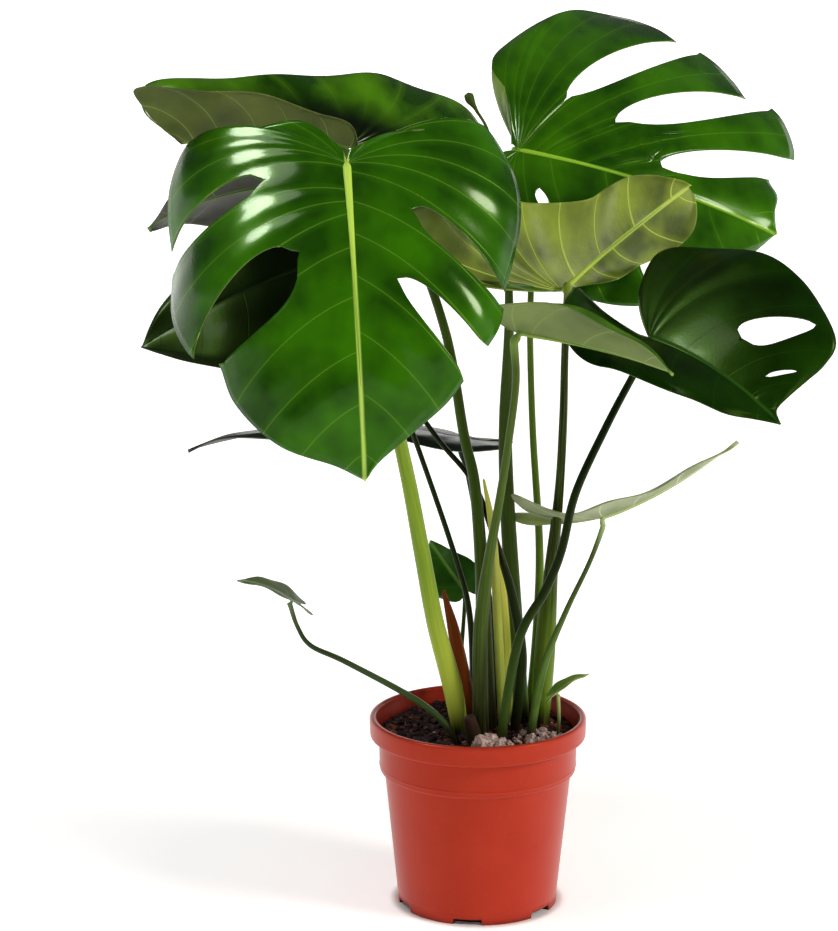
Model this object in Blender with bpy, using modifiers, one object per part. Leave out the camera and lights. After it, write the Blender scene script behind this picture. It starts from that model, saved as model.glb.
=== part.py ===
"""A potted monstera: a nursery pot, its soil, and leaves on long stalks that rise from one crown.

Metres, +Z up. The origin is the middle of the pot's flat underside.
Plant positions are measured from the crown, the middle of the soil's surface.
"""

import math

import bmesh
import bpy
import numpy as np

# Pot
POT_HEIGHT = 0.187
RIM_RADIUS = 0.105
LIP_HEIGHT = 0.020
COLLAR_RADIUS = 0.0955
COLLAR_HEIGHT = 0.034
BODY_TOP_RADIUS = 0.0905
BASE_RADIUS = 0.078
WALL = 0.0022
FLOOR = 0.0075
NOTCHES = 6
NOTCH_WIDTH = 0.029
NOTCH_HEIGHT = 0.0055
NOTCH_DEPTH = 0.010
FIRST_NOTCH = math.radians(-98)

# Soil and plant
SOIL_BELOW_RIM = 0.015
CLEARANCE = 0.0004
PLANT_SCALE = 1.0
STALK_SCALE = 1.0
BLADE = 0.0012

# Mesh fineness
TURNS = 40
BLADE_ROWS = 8
MIDRIB_STEP = 0.16
BASAL_STEP = 0.26
STALK_SPAN = 0.045
SAME_PLACE = 1e-5

# A stalk leaves the soil straight up for this far, and meets its blade straight for this
# many of its radii
STALK_RISE = 0.006
NECK = 3.0

CROWN = np.array((0.0, 0.0, POT_HEIGHT - SOIL_BELOW_RIM))

# A blade half is its margin from the notch at the stalk round to the tip, in blade lengths:
# (across, along) or (across, along, where its vein leaves the midrib).
# SPLIT is (SPLIT, start, belly) and HOLE is (HOLE, start, end, width), both from 0 at the
# midrib to 1 at the margin, and each lies between the two margin points beside it.
SPLIT = "split"
HOLE = "hole"

HEART = [
    (0.03, -0.05), (0.14, -0.17), (0.28, -0.16), (0.42, 0.0), (0.46, 0.2),
    (0.42, 0.42), (0.32, 0.62), (0.19, 0.8), (0.07, 0.93), (0, 1),
]
ARROW = [
    (0.03, -0.05), (0.10, -0.26), (0.17, -0.30), (0.23, -0.12), (0.25, 0.1),
    (0.22, 0.35), (0.15, 0.6), (0.07, 0.83), (0, 1),
]
FRONT_LEFT = [
    (0.02, -0.03), (0.14, -0.13), (0.30, -0.145), (0.44, -0.17), (0.54, -0.19),
    (0.63, -0.08), (0.67, 0.04), (0.69, 0.15, 0.02), (SPLIT, 0.375, 0.05),
    (0.70, 0.22, 0.08), (0.70, 0.29, 0.10), (0.68, 0.38, 0.12), (0.63, 0.49, 0.15),
    (0.55, 0.59, 0.18), (SPLIT, 0.375, 0.04),
    (0.43, 0.67, 0.24), (0.35, 0.79, 0.42), (0.22, 0.90, 0.68), (0.09, 0.95, 0.88), (0, 1),
]
FRONT_RIGHT = [
    (0.02, -0.02), (0.17, -0.06), (0.30, -0.11), (0.40, -0.17), (0.49, -0.17),
    (0.57, -0.03), (0.59, 0.15), (0.56, 0.3), (0.51, 0.42, 0.05), (SPLIT, 0.375, 0.04),
    (0.50, 0.46, 0.10), (0.46, 0.54, 0.16), (0.41, 0.61, 0.24), (SPLIT, 0.25, 0.02),
    (0.37, 0.67, 0.34), (0.27, 0.77, 0.5), (0.15, 0.86, 0.7), (0.05, 0.94, 0.9), (0, 1),
]
UPPER_FAR = [
    (0.02, -0.03), (0.14, -0.06), (0.27, -0.10), (0.38, -0.15), (0.50, -0.10),
    (0.66, 0.02), (0.82, 0.16), (0.86, 0.33), (0.81, 0.46), (0.74, 0.57, 0.0),
    (SPLIT, 0.25, 0.07),
    (0.77, 0.65, 0.0), (0.74, 0.74, 0.03), (0.66, 0.81, 0.06), (0.57, 0.86, 0.08),
    (SPLIT, 0.375, 0.08),
    (0.58, 0.95, 0.1), (0.50, 1.02, 0.2), (0.37, 1.07, 0.3), (SPLIT, 0.25, 0.03),
    (0.24, 0.96, 0.45), (0.16, 0.99, 0.65), (0.08, 0.98, 0.85), (0, 1),
]
UPPER_NEAR = [
    (0.02, -0.05), (0.10, -0.14), (0.22, -0.17), (0.36, -0.10), (0.46, 0.05),
    (0.50, 0.22), (HOLE, 0.25, 0.5, 0.035), (0.50, 0.42), (0.44, 0.60), (SPLIT, 0.5, 0.03),
    (0.34, 0.70), (0.24, 0.82), (0.10, 0.93), (0, 1),
]
BACK_FAR = [
    (0.01, -0.05), (0.10, -0.3), (0.22, -0.52), (0.40, -0.6), (0.52, -0.48),
    (0.46, -0.18), (0.34, 0.1), (0.30, 0.32), (0.20, 0.55), (0.14, 0.76), (0.06, 0.93), (0, 1),
]
BACK_NEAR = [
    (0.01, -0.04), (0.08, -0.12), (0.18, -0.12), (0.27, 0.02), (0.30, 0.2),
    (0.29, 0.45), (0.24, 0.66), (0.15, 0.83), (0.06, 0.94), (0, 1),
]
CENTRE_LEFT = [
    (0.02, -0.02), (0.19, -0.2), (0.42, -0.45), (0.62, -0.64), (0.88, -0.76),
    (1.04, -0.66), (0.98, -0.38), (0.76, -0.1), (0.52, 0.12), (0.34, 0.40),
    (0.28, 0.6), (0.22, 0.8), (0.08, 0.95), (0, 1),
]
CENTRE_RIGHT = [
    (0.01, 0.0), (0.06, 0.12), (0.14, 0.30), (0.22, 0.5), (0.26, 0.68), (0.22, 0.86),
    (0.12, 0.98), (0, 1),
]
RIGHT_FAR = [
    (0.02, -0.03), (0.18, -0.20), (0.32, -0.31), (0.54, -0.34), (0.69, -0.10),
    (0.78, 0.24), (0.77, 0.50), (0.68, 0.71), (HOLE, 0.375, 0.875, 0.11),
    (0.57, 0.88), (0.44, 0.92), (HOLE, 0.375, 0.75, 0.04),
    (0.30, 0.92), (0.14, 0.92), (0.04, 0.93), (0, 1),
]
RIGHT_NEAR = [
    (0.02, -0.03), (0.04, -0.22), (0.08, -0.46), (0.18, -0.60), (0.30, -0.52),
    (0.36, -0.25), (0.36, 0.06), (0.33, 0.32), (0.30, 0.54), (0.24, 0.74), (0.10, 0.88), (0, 1),
]

# foot and tip are from the crown; face is the way that the glossy side looks.
# droop, fold, curl and back are in radians: along the midrib, of each half at the midrib,
# of each half from the midrib to half a blade length out, and of the lobes behind the foot
# in each blade length. Pairs are (right, left) halves.
BACK = (0.3, 0.3)
LEAVES = {
    "front": dict(
        foot=(-0.122, -0.100, 0.565), tip=(-0.105, -0.200, 0.295), face=(0.05, -0.85, 0.5),
        right=FRONT_LEFT, left=FRONT_RIGHT, droop=0.6, fold=(0.15, 0.1), curl=(0.9, 0.7),
    ),
    "upper_right": dict(
        foot=(0.040, 0.120, 0.548), tip=(0.294, 0.160, 0.459), face=(0.1, -0.75, 0.6),
        right=UPPER_NEAR, left=UPPER_FAR, droop=0.5, fold=(0.1, 0.1), curl=(0.3, 0.4),
    ),
    "back_left": dict(
        foot=(-0.123, 0.000, 0.566), tip=(-0.318, -0.030, 0.623), face=(0.0, -0.35, 0.95),
        right=BACK_FAR, left=BACK_NEAR, droop=-0.6, fold=(0.65, 1.1), curl=(0.3, 0.3),
        back=(-1.4, -1.0),
    ),
    "centre": dict(
        foot=(0.078, 0.006, 0.430), tip=(0.202, 0.074, 0.520), face=(-0.3, 0.85, -0.1),
        right=CENTRE_LEFT, left=CENTRE_RIGHT, droop=0.4, fold=(0.1, 0.3), curl=(0.3, 0.3),
    ),
    "right": dict(
        foot=(0.158, -0.030, 0.392), tip=(0.272, -0.120, 0.329), face=(0.1, -0.6, 0.8),
        right=RIGHT_NEAR, left=RIGHT_FAR, droop=0.7, fold=(0.2, 0.5), curl=(0.4, 0.2),
        back=(3.2, 0.3),
    ),
    "middle": dict(
        foot=(0.021, -0.090, 0.406), tip=(0.173, -0.130, 0.378), face=(0.1, 0.3, 0.9),
        right=HEART, left=HEART, width=0.75, droop=-0.3, fold=(0.6, 0.9), curl=(0.2, 0.2),
    ),
    "dark": dict(
        foot=(-0.158, 0.020, 0.453), tip=(-0.317, -0.020, 0.381), face=(0.1, -0.7, 0.6),
        right=HEART, left=HEART, width=1.2, droop=0.5, fold=(0.1, 0.1), curl=(0.4, 0.4),
    ),
    "curled": dict(
        foot=(-0.150, 0.100, 0.517), tip=(-0.316, 0.060, 0.481), face=(0.3, 0.6, 0.7),
        right=HEART, left=HEART, width=0.9, droop=0.7, fold=(0.2, 0.3), curl=(0.5, 0.8),
    ),
    "low": dict(
        foot=(-0.015, 0.140, 0.258), tip=(-0.288, 0.160, 0.241), face=(0.0, 0.15, 1.0),
        right=HEART, left=HEART, width=0.6, droop=0.5, fold=(0.1, 0.1), curl=(0.5, 0.5),
    ),
    "young": dict(
        foot=(0.117, 0.012, 0.208), tip=(0.248, 0.030, 0.280), face=(-0.5, 0.35, 0.8),
        right=ARROW, left=ARROW, droop=-0.4, fold=(0.3, 0.6), curl=(0.2, 0.2),
        back=(1.6, 0.8),
    ),
    "side": dict(
        foot=(-0.178, 0.003, 0.128), tip=(-0.230, -0.020, 0.155), face=(0.3, -0.1, 0.95),
        right=ARROW, left=ARROW, width=1.3, droop=0.5, fold=(0.3, 0.3), curl=(0.2, 0.2),
    ),
    "seedling": dict(
        foot=(0.074, -0.035, 0.047), tip=(0.105, -0.040, 0.068), face=(-0.4, -0.1, 0.9),
        right=ARROW, left=ARROW, width=1.3, droop=0.4, fold=(0.4, 0.4), curl=(0.2, 0.2),
    ),
    "inner": dict(
        foot=(-0.013, 0.080, 0.120), tip=(-0.046, 0.060, 0.173), face=(-0.4, -0.9, 0.1),
        right=HEART, left=HEART, droop=0.15, fold=(0.15, 0.15), curl=(0.1, 0.1),
    ),
}

# Each stalk's route from the soil up to its blade: (x, y, height, radius), from the crown.
STALKS = {
    "front": [
        (-0.018, -0.012, 0.0, 0.0080), (-0.025, -0.020, 0.050, 0.0095),
        (-0.041, -0.035, 0.115, 0.0085), (-0.053, -0.050, 0.183, 0.0078),
        (-0.065, -0.065, 0.254, 0.0070), (-0.076, -0.076, 0.310, 0.0064),
        (-0.092, -0.083, 0.391, 0.0058), (-0.107, -0.080, 0.474, 0.0052),
    ],
    "back_left": [
        (0.008, 0.000, 0.0, 0.0110), (0.006, 0.004, 0.089, 0.0085),
        (0.003, 0.010, 0.167, 0.0068), (-0.004, 0.016, 0.244, 0.0056),
        (-0.014, 0.022, 0.289, 0.0052), (-0.032, 0.028, 0.388, 0.0047),
        (-0.066, 0.028, 0.475, 0.0043),
    ],
    "curled": [
        (-0.003, 0.034, 0.0, 0.0040), (-0.007, 0.037, 0.100, 0.0032),
        (-0.021, 0.040, 0.160, 0.0028), (-0.058, 0.046, 0.270, 0.0026),
        (-0.100, 0.070, 0.381, 0.0024), (-0.138, 0.092, 0.470, 0.0024),
    ],
    "dark": [
        (0.036, -0.006, 0.0, 0.0050), (0.042, -0.008, 0.075, 0.0050),
        (0.032, -0.006, 0.137, 0.0045), (0.019, 0.000, 0.180, 0.0036),
        (-0.004, 0.040, 0.235, 0.0028), (-0.039, 0.050, 0.278, 0.0026),
        (-0.094, 0.055, 0.354, 0.0024), (-0.142, 0.050, 0.415, 0.0024),
    ],
    "middle": [
        (0.002, -0.034, 0.0, 0.0085), (0.001, -0.036, 0.100, 0.0075),
        (0.005, -0.038, 0.150, 0.0065), (0.011, -0.040, 0.194, 0.0050),
        (0.017, -0.050, 0.239, 0.0042), (0.022, -0.066, 0.300, 0.0038),
        (0.024, -0.082, 0.353, 0.0036),
    ],
    "upper_right": [
        (0.053, 0.046, 0.0, 0.0060), (0.059, 0.050, 0.090, 0.0052),
        (0.060, 0.052, 0.172, 0.0040), (0.053, 0.057, 0.282, 0.0034),
        (0.050, 0.068, 0.372, 0.0032), (0.050, 0.092, 0.456, 0.0032),
    ],
    "centre": [
        (0.062, 0.012, 0.0, 0.0080), (0.065, 0.010, 0.080, 0.0100),
        (0.070, 0.008, 0.158, 0.0068), (0.077, 0.008, 0.237, 0.0045),
        (0.080, 0.007, 0.305, 0.0040), (0.081, 0.006, 0.373, 0.0036),
    ],
    "right": [
        (0.020, -0.056, 0.0, 0.0045), (0.037, -0.056, 0.105, 0.0045),
        (0.062, -0.053, 0.154, 0.0044), (0.077, -0.050, 0.192, 0.0042),
        (0.090, -0.046, 0.247, 0.0040), (0.117, -0.032, 0.304, 0.0038),
        (0.143, -0.014, 0.350, 0.0036),
    ],
    "low": [
        (0.020, 0.062, 0.0, 0.0035), (0.014, 0.074, 0.100, 0.0028),
        (0.000, 0.110, 0.180, 0.0024), (-0.010, 0.132, 0.228, 0.0022),
    ],
    "young": [
        (0.050, -0.030, 0.0, 0.0045), (0.062, -0.030, 0.072, 0.0038),
        (0.083, -0.018, 0.123, 0.0028), (0.106, 0.000, 0.167, 0.0024),
    ],
    "side": [
        (-0.022, -0.044, 0.0, 0.0035), (-0.040, -0.038, 0.026, 0.0034),
        (-0.069, -0.030, 0.045, 0.0032), (-0.128, -0.018, 0.074, 0.0028),
        (-0.161, -0.008, 0.087, 0.0025), (-0.174, 0.000, 0.104, 0.0022),
    ],
    "seedling": [
        (0.076, -0.034, 0.0, 0.0018), (0.077, -0.034, 0.020, 0.0017),
    ],
    "inner": [
        (-0.022, 0.060, 0.0, 0.0024), (-0.016, 0.072, 0.050, 0.0022),
        (-0.012, 0.086, 0.100, 0.0020),
    ],
}

# Pieces that rise from the crown and end in the air: (x, y, height, radius).
SHOOTS = {
    "dried_sheath": [
        (-0.016, 0.010, 0.0, 0.0060), (-0.019, 0.008, 0.060, 0.0050),
        (-0.026, 0.002, 0.100, 0.0042), (-0.034, -0.004, 0.142, 0.0015),
    ],
    "pale_sheath": [
        (0.028, 0.018, 0.0, 0.0062), (0.026, 0.018, 0.080, 0.0055),
        (0.022, 0.020, 0.140, 0.0048), (0.016, 0.022, 0.196, 0.0014),
    ],
    "bud_sheath": [
        (0.024, -0.022, 0.0, 0.0046), (0.019, -0.022, 0.100, 0.0044),
        (0.013, -0.022, 0.200, 0.0038), (0.004, -0.020, 0.255, 0.0012),
    ],
    "aerial_root": [
        (-0.004, -0.052, 0.0, 0.0048), (-0.006, -0.052, 0.016, 0.0044),
        (-0.010, -0.053, 0.030, 0.0030),
    ],
    "new_leaf": [
        (0.043, 0.030, 0.0, 0.0080), (0.036, 0.032, 0.100, 0.0080),
        (0.028, 0.036, 0.220, 0.0072), (0.026, 0.040, 0.300, 0.0062),
        (0.029, 0.042, 0.400, 0.0044), (0.024, 0.040, 0.500, 0.0028),
        (0.010, 0.040, 0.570, 0.0022), (-0.003, 0.040, 0.594, 0.0024),
        (-0.010, 0.040, 0.606, 0.0050), (-0.011, 0.040, 0.614, 0.0046),
    ],
}

GREEN = (0.05, 0.16, 0.01)
DARK_GREEN = (0.02, 0.08, 0.01)
STALK_COLOURS = {"front": (0.20, 0.32, 0.05)}
SHOOT_COLOURS = {
    "dried_sheath": (0.22, 0.06, 0.02),
    "pale_sheath": (0.70, 0.68, 0.25),
    "bud_sheath": (0.42, 0.45, 0.06),
    "aerial_root": (0.05, 0.01, 0.02),
    "new_leaf": (0.17, 0.32, 0.03),
}


def clear_scene():
    for obj in list(bpy.data.objects):
        bpy.data.objects.remove(obj, do_unlink=True)


def material(name, colour, roughness):
    made = bpy.data.materials.new(name)
    made.use_nodes = True
    shader = made.node_tree.nodes["Principled BSDF"]
    shader.inputs["Base Color"].default_value = (*colour, 1.0)
    shader.inputs["Roughness"].default_value = roughness
    shader.inputs["Metallic"].default_value = 0.0
    return made


def collection(name, shown):
    made = bpy.data.collections.new(name)
    bpy.context.scene.collection.children.link(made)
    made.hide_render = not shown
    return made


def add_object(name, data, into, finish):
    made = bpy.data.objects.new(name, data)
    into.objects.link(made)
    if finish is not None:
        data.materials.append(finish)
    return made


def unit(vector):
    vector = np.asarray(vector, float)
    return vector / np.linalg.norm(vector)


def through(points, per_span):
    """Points on the Catmull-Rom curve through the given ones, per_span of them to a span."""
    given = np.asarray(points, float)
    last = len(given) - 1
    ends = (2 * given[0] - given[1], 2 * given[-1] - given[-2])
    padded = np.vstack([ends[0], given, ends[1]])
    place = np.linspace(0, last, per_span * last + 1)
    span = np.minimum(place.astype(int), last - 1)
    f = (place - span)[:, None]
    a, b, c, d = (padded[span + i] for i in range(4))
    bend = (2 * a - 5 * b + 4 * c - d) * f**2 + (3 * b - a - 3 * c + d) * f**3
    return 0.5 * (2 * b + (c - a) * f + bend)


def turned(name, profile, into, finish):
    """A solid of revolution: the profile is (radius, height), up the inside from the axis
    and down the outside back to it, so its first and last points lie on the axis."""
    mesh = bpy.data.meshes.new(name)
    points = [(radius, 0.0, height) for radius, height in profile]
    mesh.from_pydata(points, [(i, i + 1) for i in range(len(points) - 1)], [])
    made = add_object(name, mesh, into, finish)
    screw = made.modifiers.new("turn", "SCREW")
    screw.steps = TURNS
    screw.render_steps = TURNS
    screw.use_merge_vertices = True
    screw.merge_threshold = 0.00001
    screw.use_smooth_shade = True
    return made


def wall_radius(height):
    """The pot's inner radius at a height between its floor and its collar."""
    share = height / (POT_HEIGHT - LIP_HEIGHT - COLLAR_HEIGHT)
    outer = BASE_RADIUS + (BODY_TOP_RADIUS - BASE_RADIUS) * min(share, 1.0)
    return outer - WALL


def make_pot(parts, cutters):
    lip_bottom = POT_HEIGHT - LIP_HEIGHT
    collar_bottom = lip_bottom - COLLAR_HEIGHT
    inner_collar = COLLAR_RADIUS - WALL
    bead = 0.003
    profile = [
        (0.0, FLOOR),
        (wall_radius(FLOOR), FLOOR),
        (wall_radius(collar_bottom), collar_bottom),
        (inner_collar, collar_bottom + COLLAR_RADIUS - BODY_TOP_RADIUS),
        (inner_collar, lip_bottom),
        (RIM_RADIUS - 0.007, POT_HEIGHT - bead),
        (RIM_RADIUS - 0.005, POT_HEIGHT),
        (RIM_RADIUS - 0.002, POT_HEIGHT),
        (RIM_RADIUS, POT_HEIGHT - bead),
        (RIM_RADIUS, lip_bottom + bead),
        (RIM_RADIUS - 0.002, lip_bottom),
        (COLLAR_RADIUS, lip_bottom),
        (COLLAR_RADIUS - 0.001, collar_bottom + bead),
        (BODY_TOP_RADIUS, collar_bottom),
        (BASE_RADIUS, 0.004),
        (BASE_RADIUS - 0.002, 0.0),
        (0.0, 0.0),
    ]
    pot = turned("pot", profile, parts, material("terracotta_plastic", (0.50, 0.07, 0.04), 0.38))
    for i in range(NOTCHES):
        turn = FIRST_NOTCH + math.tau * i / NOTCHES
        mesh = bpy.data.meshes.new(f"notch_{i + 1}")
        shape = bmesh.new()
        bmesh.ops.create_cube(shape, size=1.0)
        shape.to_mesh(mesh)
        shape.free()
        cutter = add_object(f"notch_{i + 1}", mesh, cutters, None)
        cutter.scale = (2 * NOTCH_DEPTH, NOTCH_WIDTH, 2 * NOTCH_HEIGHT)
        cutter.location = (BASE_RADIUS * math.cos(turn), BASE_RADIUS * math.sin(turn), 0.0)
        cutter.rotation_euler = (0.0, 0.0, turn)
        cutter.hide_render = True
        cutter.display_type = "WIRE"
        cut = pot.modifiers.new(cutter.name, "BOOLEAN")
        cut.operation = "DIFFERENCE"
        cut.object = cutter
    return pot


def make_soil(parts):
    lip_bottom = POT_HEIGHT - LIP_HEIGHT
    collar_bottom = lip_bottom - COLLAR_HEIGHT
    top = CROWN[2]
    inner_collar = COLLAR_RADIUS - WALL
    profile = [
        (0.0, top),
        (inner_collar - 0.002, top),
        (inner_collar - CLEARANCE, top - 0.004),
        (inner_collar - CLEARANCE, collar_bottom + COLLAR_RADIUS - BODY_TOP_RADIUS),
        (wall_radius(collar_bottom) - CLEARANCE, collar_bottom),
        (wall_radius(FLOOR) - CLEARANCE, FLOOR + CLEARANCE),
        (0.0, FLOOR + CLEARANCE),
    ]
    return turned("soil", profile, parts, material("potting_soil", (0.03, 0.012, 0.012), 0.95))


def blade_half(margin, width):
    """The margin as a dense curve: its points, the distance along it, where each of its
    veins leaves the midrib, and the splits and holes as (place, start, end, belly, mouth)."""
    points, roots, openings = [], [], []
    for item in margin:
        if item[0] in (SPLIT, HOLE):
            openings.append((len(points), *item))
            continue
        across, along = item[0] * width, item[1]
        points.append((across, along))
        roots.append(item[2] if len(item) == 3 else max(along - 0.6 * item[0], 0.0))
    roots[-1] = 1.0
    roots = np.maximum.accumulate(roots)
    span = 16
    curve = through(points, span)
    steps = np.linalg.norm(np.diff(curve, axis=0), axis=1)
    distance = np.concatenate([[0.0], np.cumsum(steps)])
    first = np.nonzero(roots > 0)[0][0] - 1
    start = distance[first * span]
    rise = np.interp(distance, distance[::span], roots)
    slope = 1e-4 * np.maximum(distance - start, 0.0)
    root = (rise + slope) / (1 + slope[-1])
    cuts = []
    for index, kind, begin, *rest in openings:
        low, high = distance[(index - 1) * span], distance[index * span]
        end, belly = (1.0, rest[0]) if kind == SPLIT else rest
        cuts.append(((low + high) / 2, begin, end, belly, high - low if kind == SPLIT else 0.0))
    return dict(curve=curve, distance=distance, root=root, start=start, cuts=cuts)


def gap_at(cut, t):
    """Half the width of a split or hole at t, as a distance along the margin."""
    _, begin, end, belly, mouth = cut
    x = np.clip((t - begin) / (end - begin), 0.0, 1.0)
    width = mouth * np.sqrt(x) + belly * np.sqrt(4 * x * (1 - x))
    return 0.5 * width / np.maximum(t, 1e-6)


def leaf_frame(leaf):
    """The foot, the chord's direction, the way across, the way up and the blade's length."""
    foot = CROWN + PLANT_SCALE * np.array(leaf["foot"])
    tip = CROWN + PLANT_SCALE * np.array(leaf["tip"])
    along = unit(tip - foot)
    across = unit(np.cross(along, leaf["face"]))
    up = np.cross(across, along)
    half = leaf["droop"] / 2
    length = np.linalg.norm(tip - foot) * half / math.sin(half)
    return foot, along, across, up, length


def blade_point(leaf, side, flat):
    """Where a flat blade point lies once the blade is folded, curled and drooped.

    Across: an arc that starts at the fold angle and turns by the curl. Along: an arc that
    starts half the droop above the chord and ends half the droop below it, and behind the
    foot an arc that bends up by the back angle in each blade length.
    """
    foot, along, across, up, length = leaf_frame(leaf)
    droop = leaf["droop"]
    fold = leaf["fold"][0 if side > 0 else 1]
    curl = 2 * leaf["curl"][0 if side > 0 else 1]
    out = np.abs(flat[..., 0])
    reach = (math.sin(fold) - np.sin(fold - curl * out)) / curl
    lift = (np.cos(fold - curl * out) - math.cos(fold)) / curl
    back = leaf.get("back", BACK)[0 if side > 0 else 1]
    bend = np.where(flat[..., 1] < 0.0, -back, droop)
    angle = droop / 2 - bend * flat[..., 1]
    forward = (math.sin(droop / 2) - np.sin(angle)) / bend
    height = (np.cos(angle) - math.cos(droop / 2)) / bend
    x = side * reach
    y = forward - np.sin(angle) * lift
    z = height + np.cos(angle) * lift
    return foot + length * (x[..., None] * across + y[..., None] * along + z[..., None] * up)


def midrib_places(halves):
    """Places on the midrib, 0 to 1, that both halves share: every cut's vein and between."""
    roots = [
        float(np.interp(cut[0], half["distance"], half["root"]))
        for half in halves
        for cut in half["cuts"]
        if cut[0] > half["start"]
    ]
    places = [0.0]
    for root in [*sorted(roots), 1.0]:
        if root - places[-1] < SAME_PLACE:
            continue
        steps = math.ceil((root - places[-1]) / MIDRIB_STEP)
        places += list(np.linspace(places[-1], root, steps + 1)[1:])
    return places


def blade_grids(leaf):
    """One grid of points for each lobe: veins one way, and from midrib to margin the other."""
    width = leaf.get("width", 1.0)
    halves = [blade_half(leaf[side], width) for side in ("right", "left")]
    places = midrib_places(halves)
    t = np.linspace(0.0, 1.0, BLADE_ROWS + 1)
    grids = []
    for side, half in zip((1, -1), halves):
        risen = half["distance"] >= half["start"]
        basal = np.linspace(0.0, half["start"], math.ceil(half["start"] / BASAL_STEP) + 1)
        veins = np.interp(places[1:], half["root"][risen], half["distance"][risen])
        veins = np.concatenate([basal, veins])
        total = half["distance"][-1]
        edges = [0.0, *(cut[0] for cut in half["cuts"]), total]
        gaps = [0 * t, *(gap_at(cut, t) for cut in half["cuts"]), 0 * t]
        for i in range(len(edges) - 1):
            low, high = edges[i], edges[i + 1]
            inside = veins[(veins > low + SAME_PLACE) & (veins < high - SAME_PLACE)]
            share = ((np.concatenate([[low], inside, [high]]) - low) / (high - low))[:, None]
            place = (1 - share) * (low + gaps[i]) + share * (high - gaps[i + 1])
            margin = [np.interp(place, half["distance"], half["curve"][:, k]) for k in (0, 1)]
            root = np.interp(place, half["distance"], half["root"])
            sag = 0.1 * 4 * t * (1 - t) * np.abs(margin[0])
            flat = np.stack([t * margin[0], root + t * (margin[1] - root) - sag], axis=-1)
            grids.append((side, blade_point(leaf, side, flat)))
    return grids


def make_blade(name, leaf, parts):
    """The lobes' grids joined where they meet, given the blade's thickness.

    A split or perforated blade is a loft between its midrib and its margin, which no
    primitive or curve gives, so its faces come from the grids."""
    shape = bmesh.new()
    for side, grid in blade_grids(leaf):
        rows, columns = grid.shape[:2]
        verts = [[shape.verts.new(point) for point in row] for row in grid]
        for i in range(rows - 1):
            for j in range(columns - 1):
                corners = (verts[i][j], verts[i + 1][j], verts[i + 1][j + 1], verts[i][j + 1])
                shape.faces.new(corners if side < 0 else corners[::-1])
    bmesh.ops.remove_doubles(shape, verts=shape.verts, dist=0.00002)
    bmesh.ops.dissolve_degenerate(shape, edges=shape.edges, dist=0.00002)
    mesh = bpy.data.meshes.new(name)
    shape.to_mesh(mesh)
    shape.free()
    mesh.shade_smooth()
    made = add_object(name, mesh, parts, material(f"{name}_green", GREEN, 0.25))
    shell = made.modifiers.new("thickness", "SOLIDIFY")
    shell.thickness = BLADE
    shell.offset = 0.0
    return made


def stalk_seat(leaf):
    """Where a stalk ends under its blade, and the way out of the blade's underside there."""
    foot, along, _, up, _ = leaf_frame(leaf)
    tilt = leaf["droop"] / 2
    face = math.cos(tilt) * up - math.sin(tilt) * along
    return foot - (BLADE / 2 + CLEARANCE) * face, -face


def smooth_route(route):
    """A curve through the route's (x, y, z, radius) with a point about every STALK_SPAN."""
    length = np.linalg.norm(np.diff(route[:, :3], axis=0), axis=1).sum()
    return through(route, max(1, round(length / STALK_SPAN / (len(route) - 1))))


def from_crown(route):
    """The route's crown measures as world ones, a little above the soil at the start."""
    x, y, height, radius = np.array(route).T
    places = CROWN + PLANT_SCALE * np.stack([x, y, height], axis=-1)
    places[0, 2] = CROWN[2] + STALK_RISE
    return np.column_stack([places, STALK_SCALE * radius])


def make_tube(name, points, parts, finish):
    """A round stem through the points, which first stands on the soil below the first one."""
    base = np.array([[*points[0, :2], CROWN[2] + CLEARANCE, points[0, 3]]])
    curve = bpy.data.curves.new(name, "CURVE")
    curve.dimensions = "3D"
    curve.bevel_depth = 1.0
    curve.bevel_resolution = 2
    curve.use_fill_caps = True
    points = np.vstack([base, points])
    spline = curve.splines.new("POLY")
    spline.points.add(len(points) - 1)
    for point, (x, y, z, radius) in zip(spline.points, points):
        point.co = (x, y, z, 1.0)
        point.radius = radius
    spline.use_smooth = True
    return add_object(name, curve, parts, finish)


def make_stalk(name, route, leaf, parts):
    """A stalk from the soil to its blade, which it meets square on, at the underside."""
    rising = from_crown(route)
    seat, out = stalk_seat(leaf)
    radius = rising[-1, 3]
    neck = [*(seat + NECK * radius * out), radius]
    end = [*seat, radius]
    points = np.vstack([smooth_route(np.vstack([rising, neck])), end])
    green = material(f"{name}_green", STALK_COLOURS.get(name, DARK_GREEN), 0.4)
    return make_tube(f"{name}_stalk", points, parts, green)


def main():
    clear_scene()
    parts = collection("potted_monstera", True)
    cutters = collection("cutters", False)
    make_pot(parts, cutters)
    make_soil(parts)
    for name, leaf in LEAVES.items():
        make_blade(f"{name}_leaf", leaf, parts)
    for name, route in STALKS.items():
        make_stalk(name, route, LEAVES[name], parts)
    for name, route in SHOOTS.items():
        tint = material(f"{name}_skin", SHOOT_COLOURS[name], 0.6)
        make_tube(name, smooth_route(from_crown(route)), parts, tint)


main()
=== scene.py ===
# %% [markdown]
# # A potted monstera
#
# A young Swiss cheese plant in a nursery pot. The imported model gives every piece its
# place: the pot, the soil, and a blade and a stalk for each leaf. This script gives each
# one its real surface: veins that stand out, blades that puff up between them, a moulded
# pot and loose bark. Everything is in metres, and the origin is under the pot.

# %% Load the frame
import functools
import math

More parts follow.
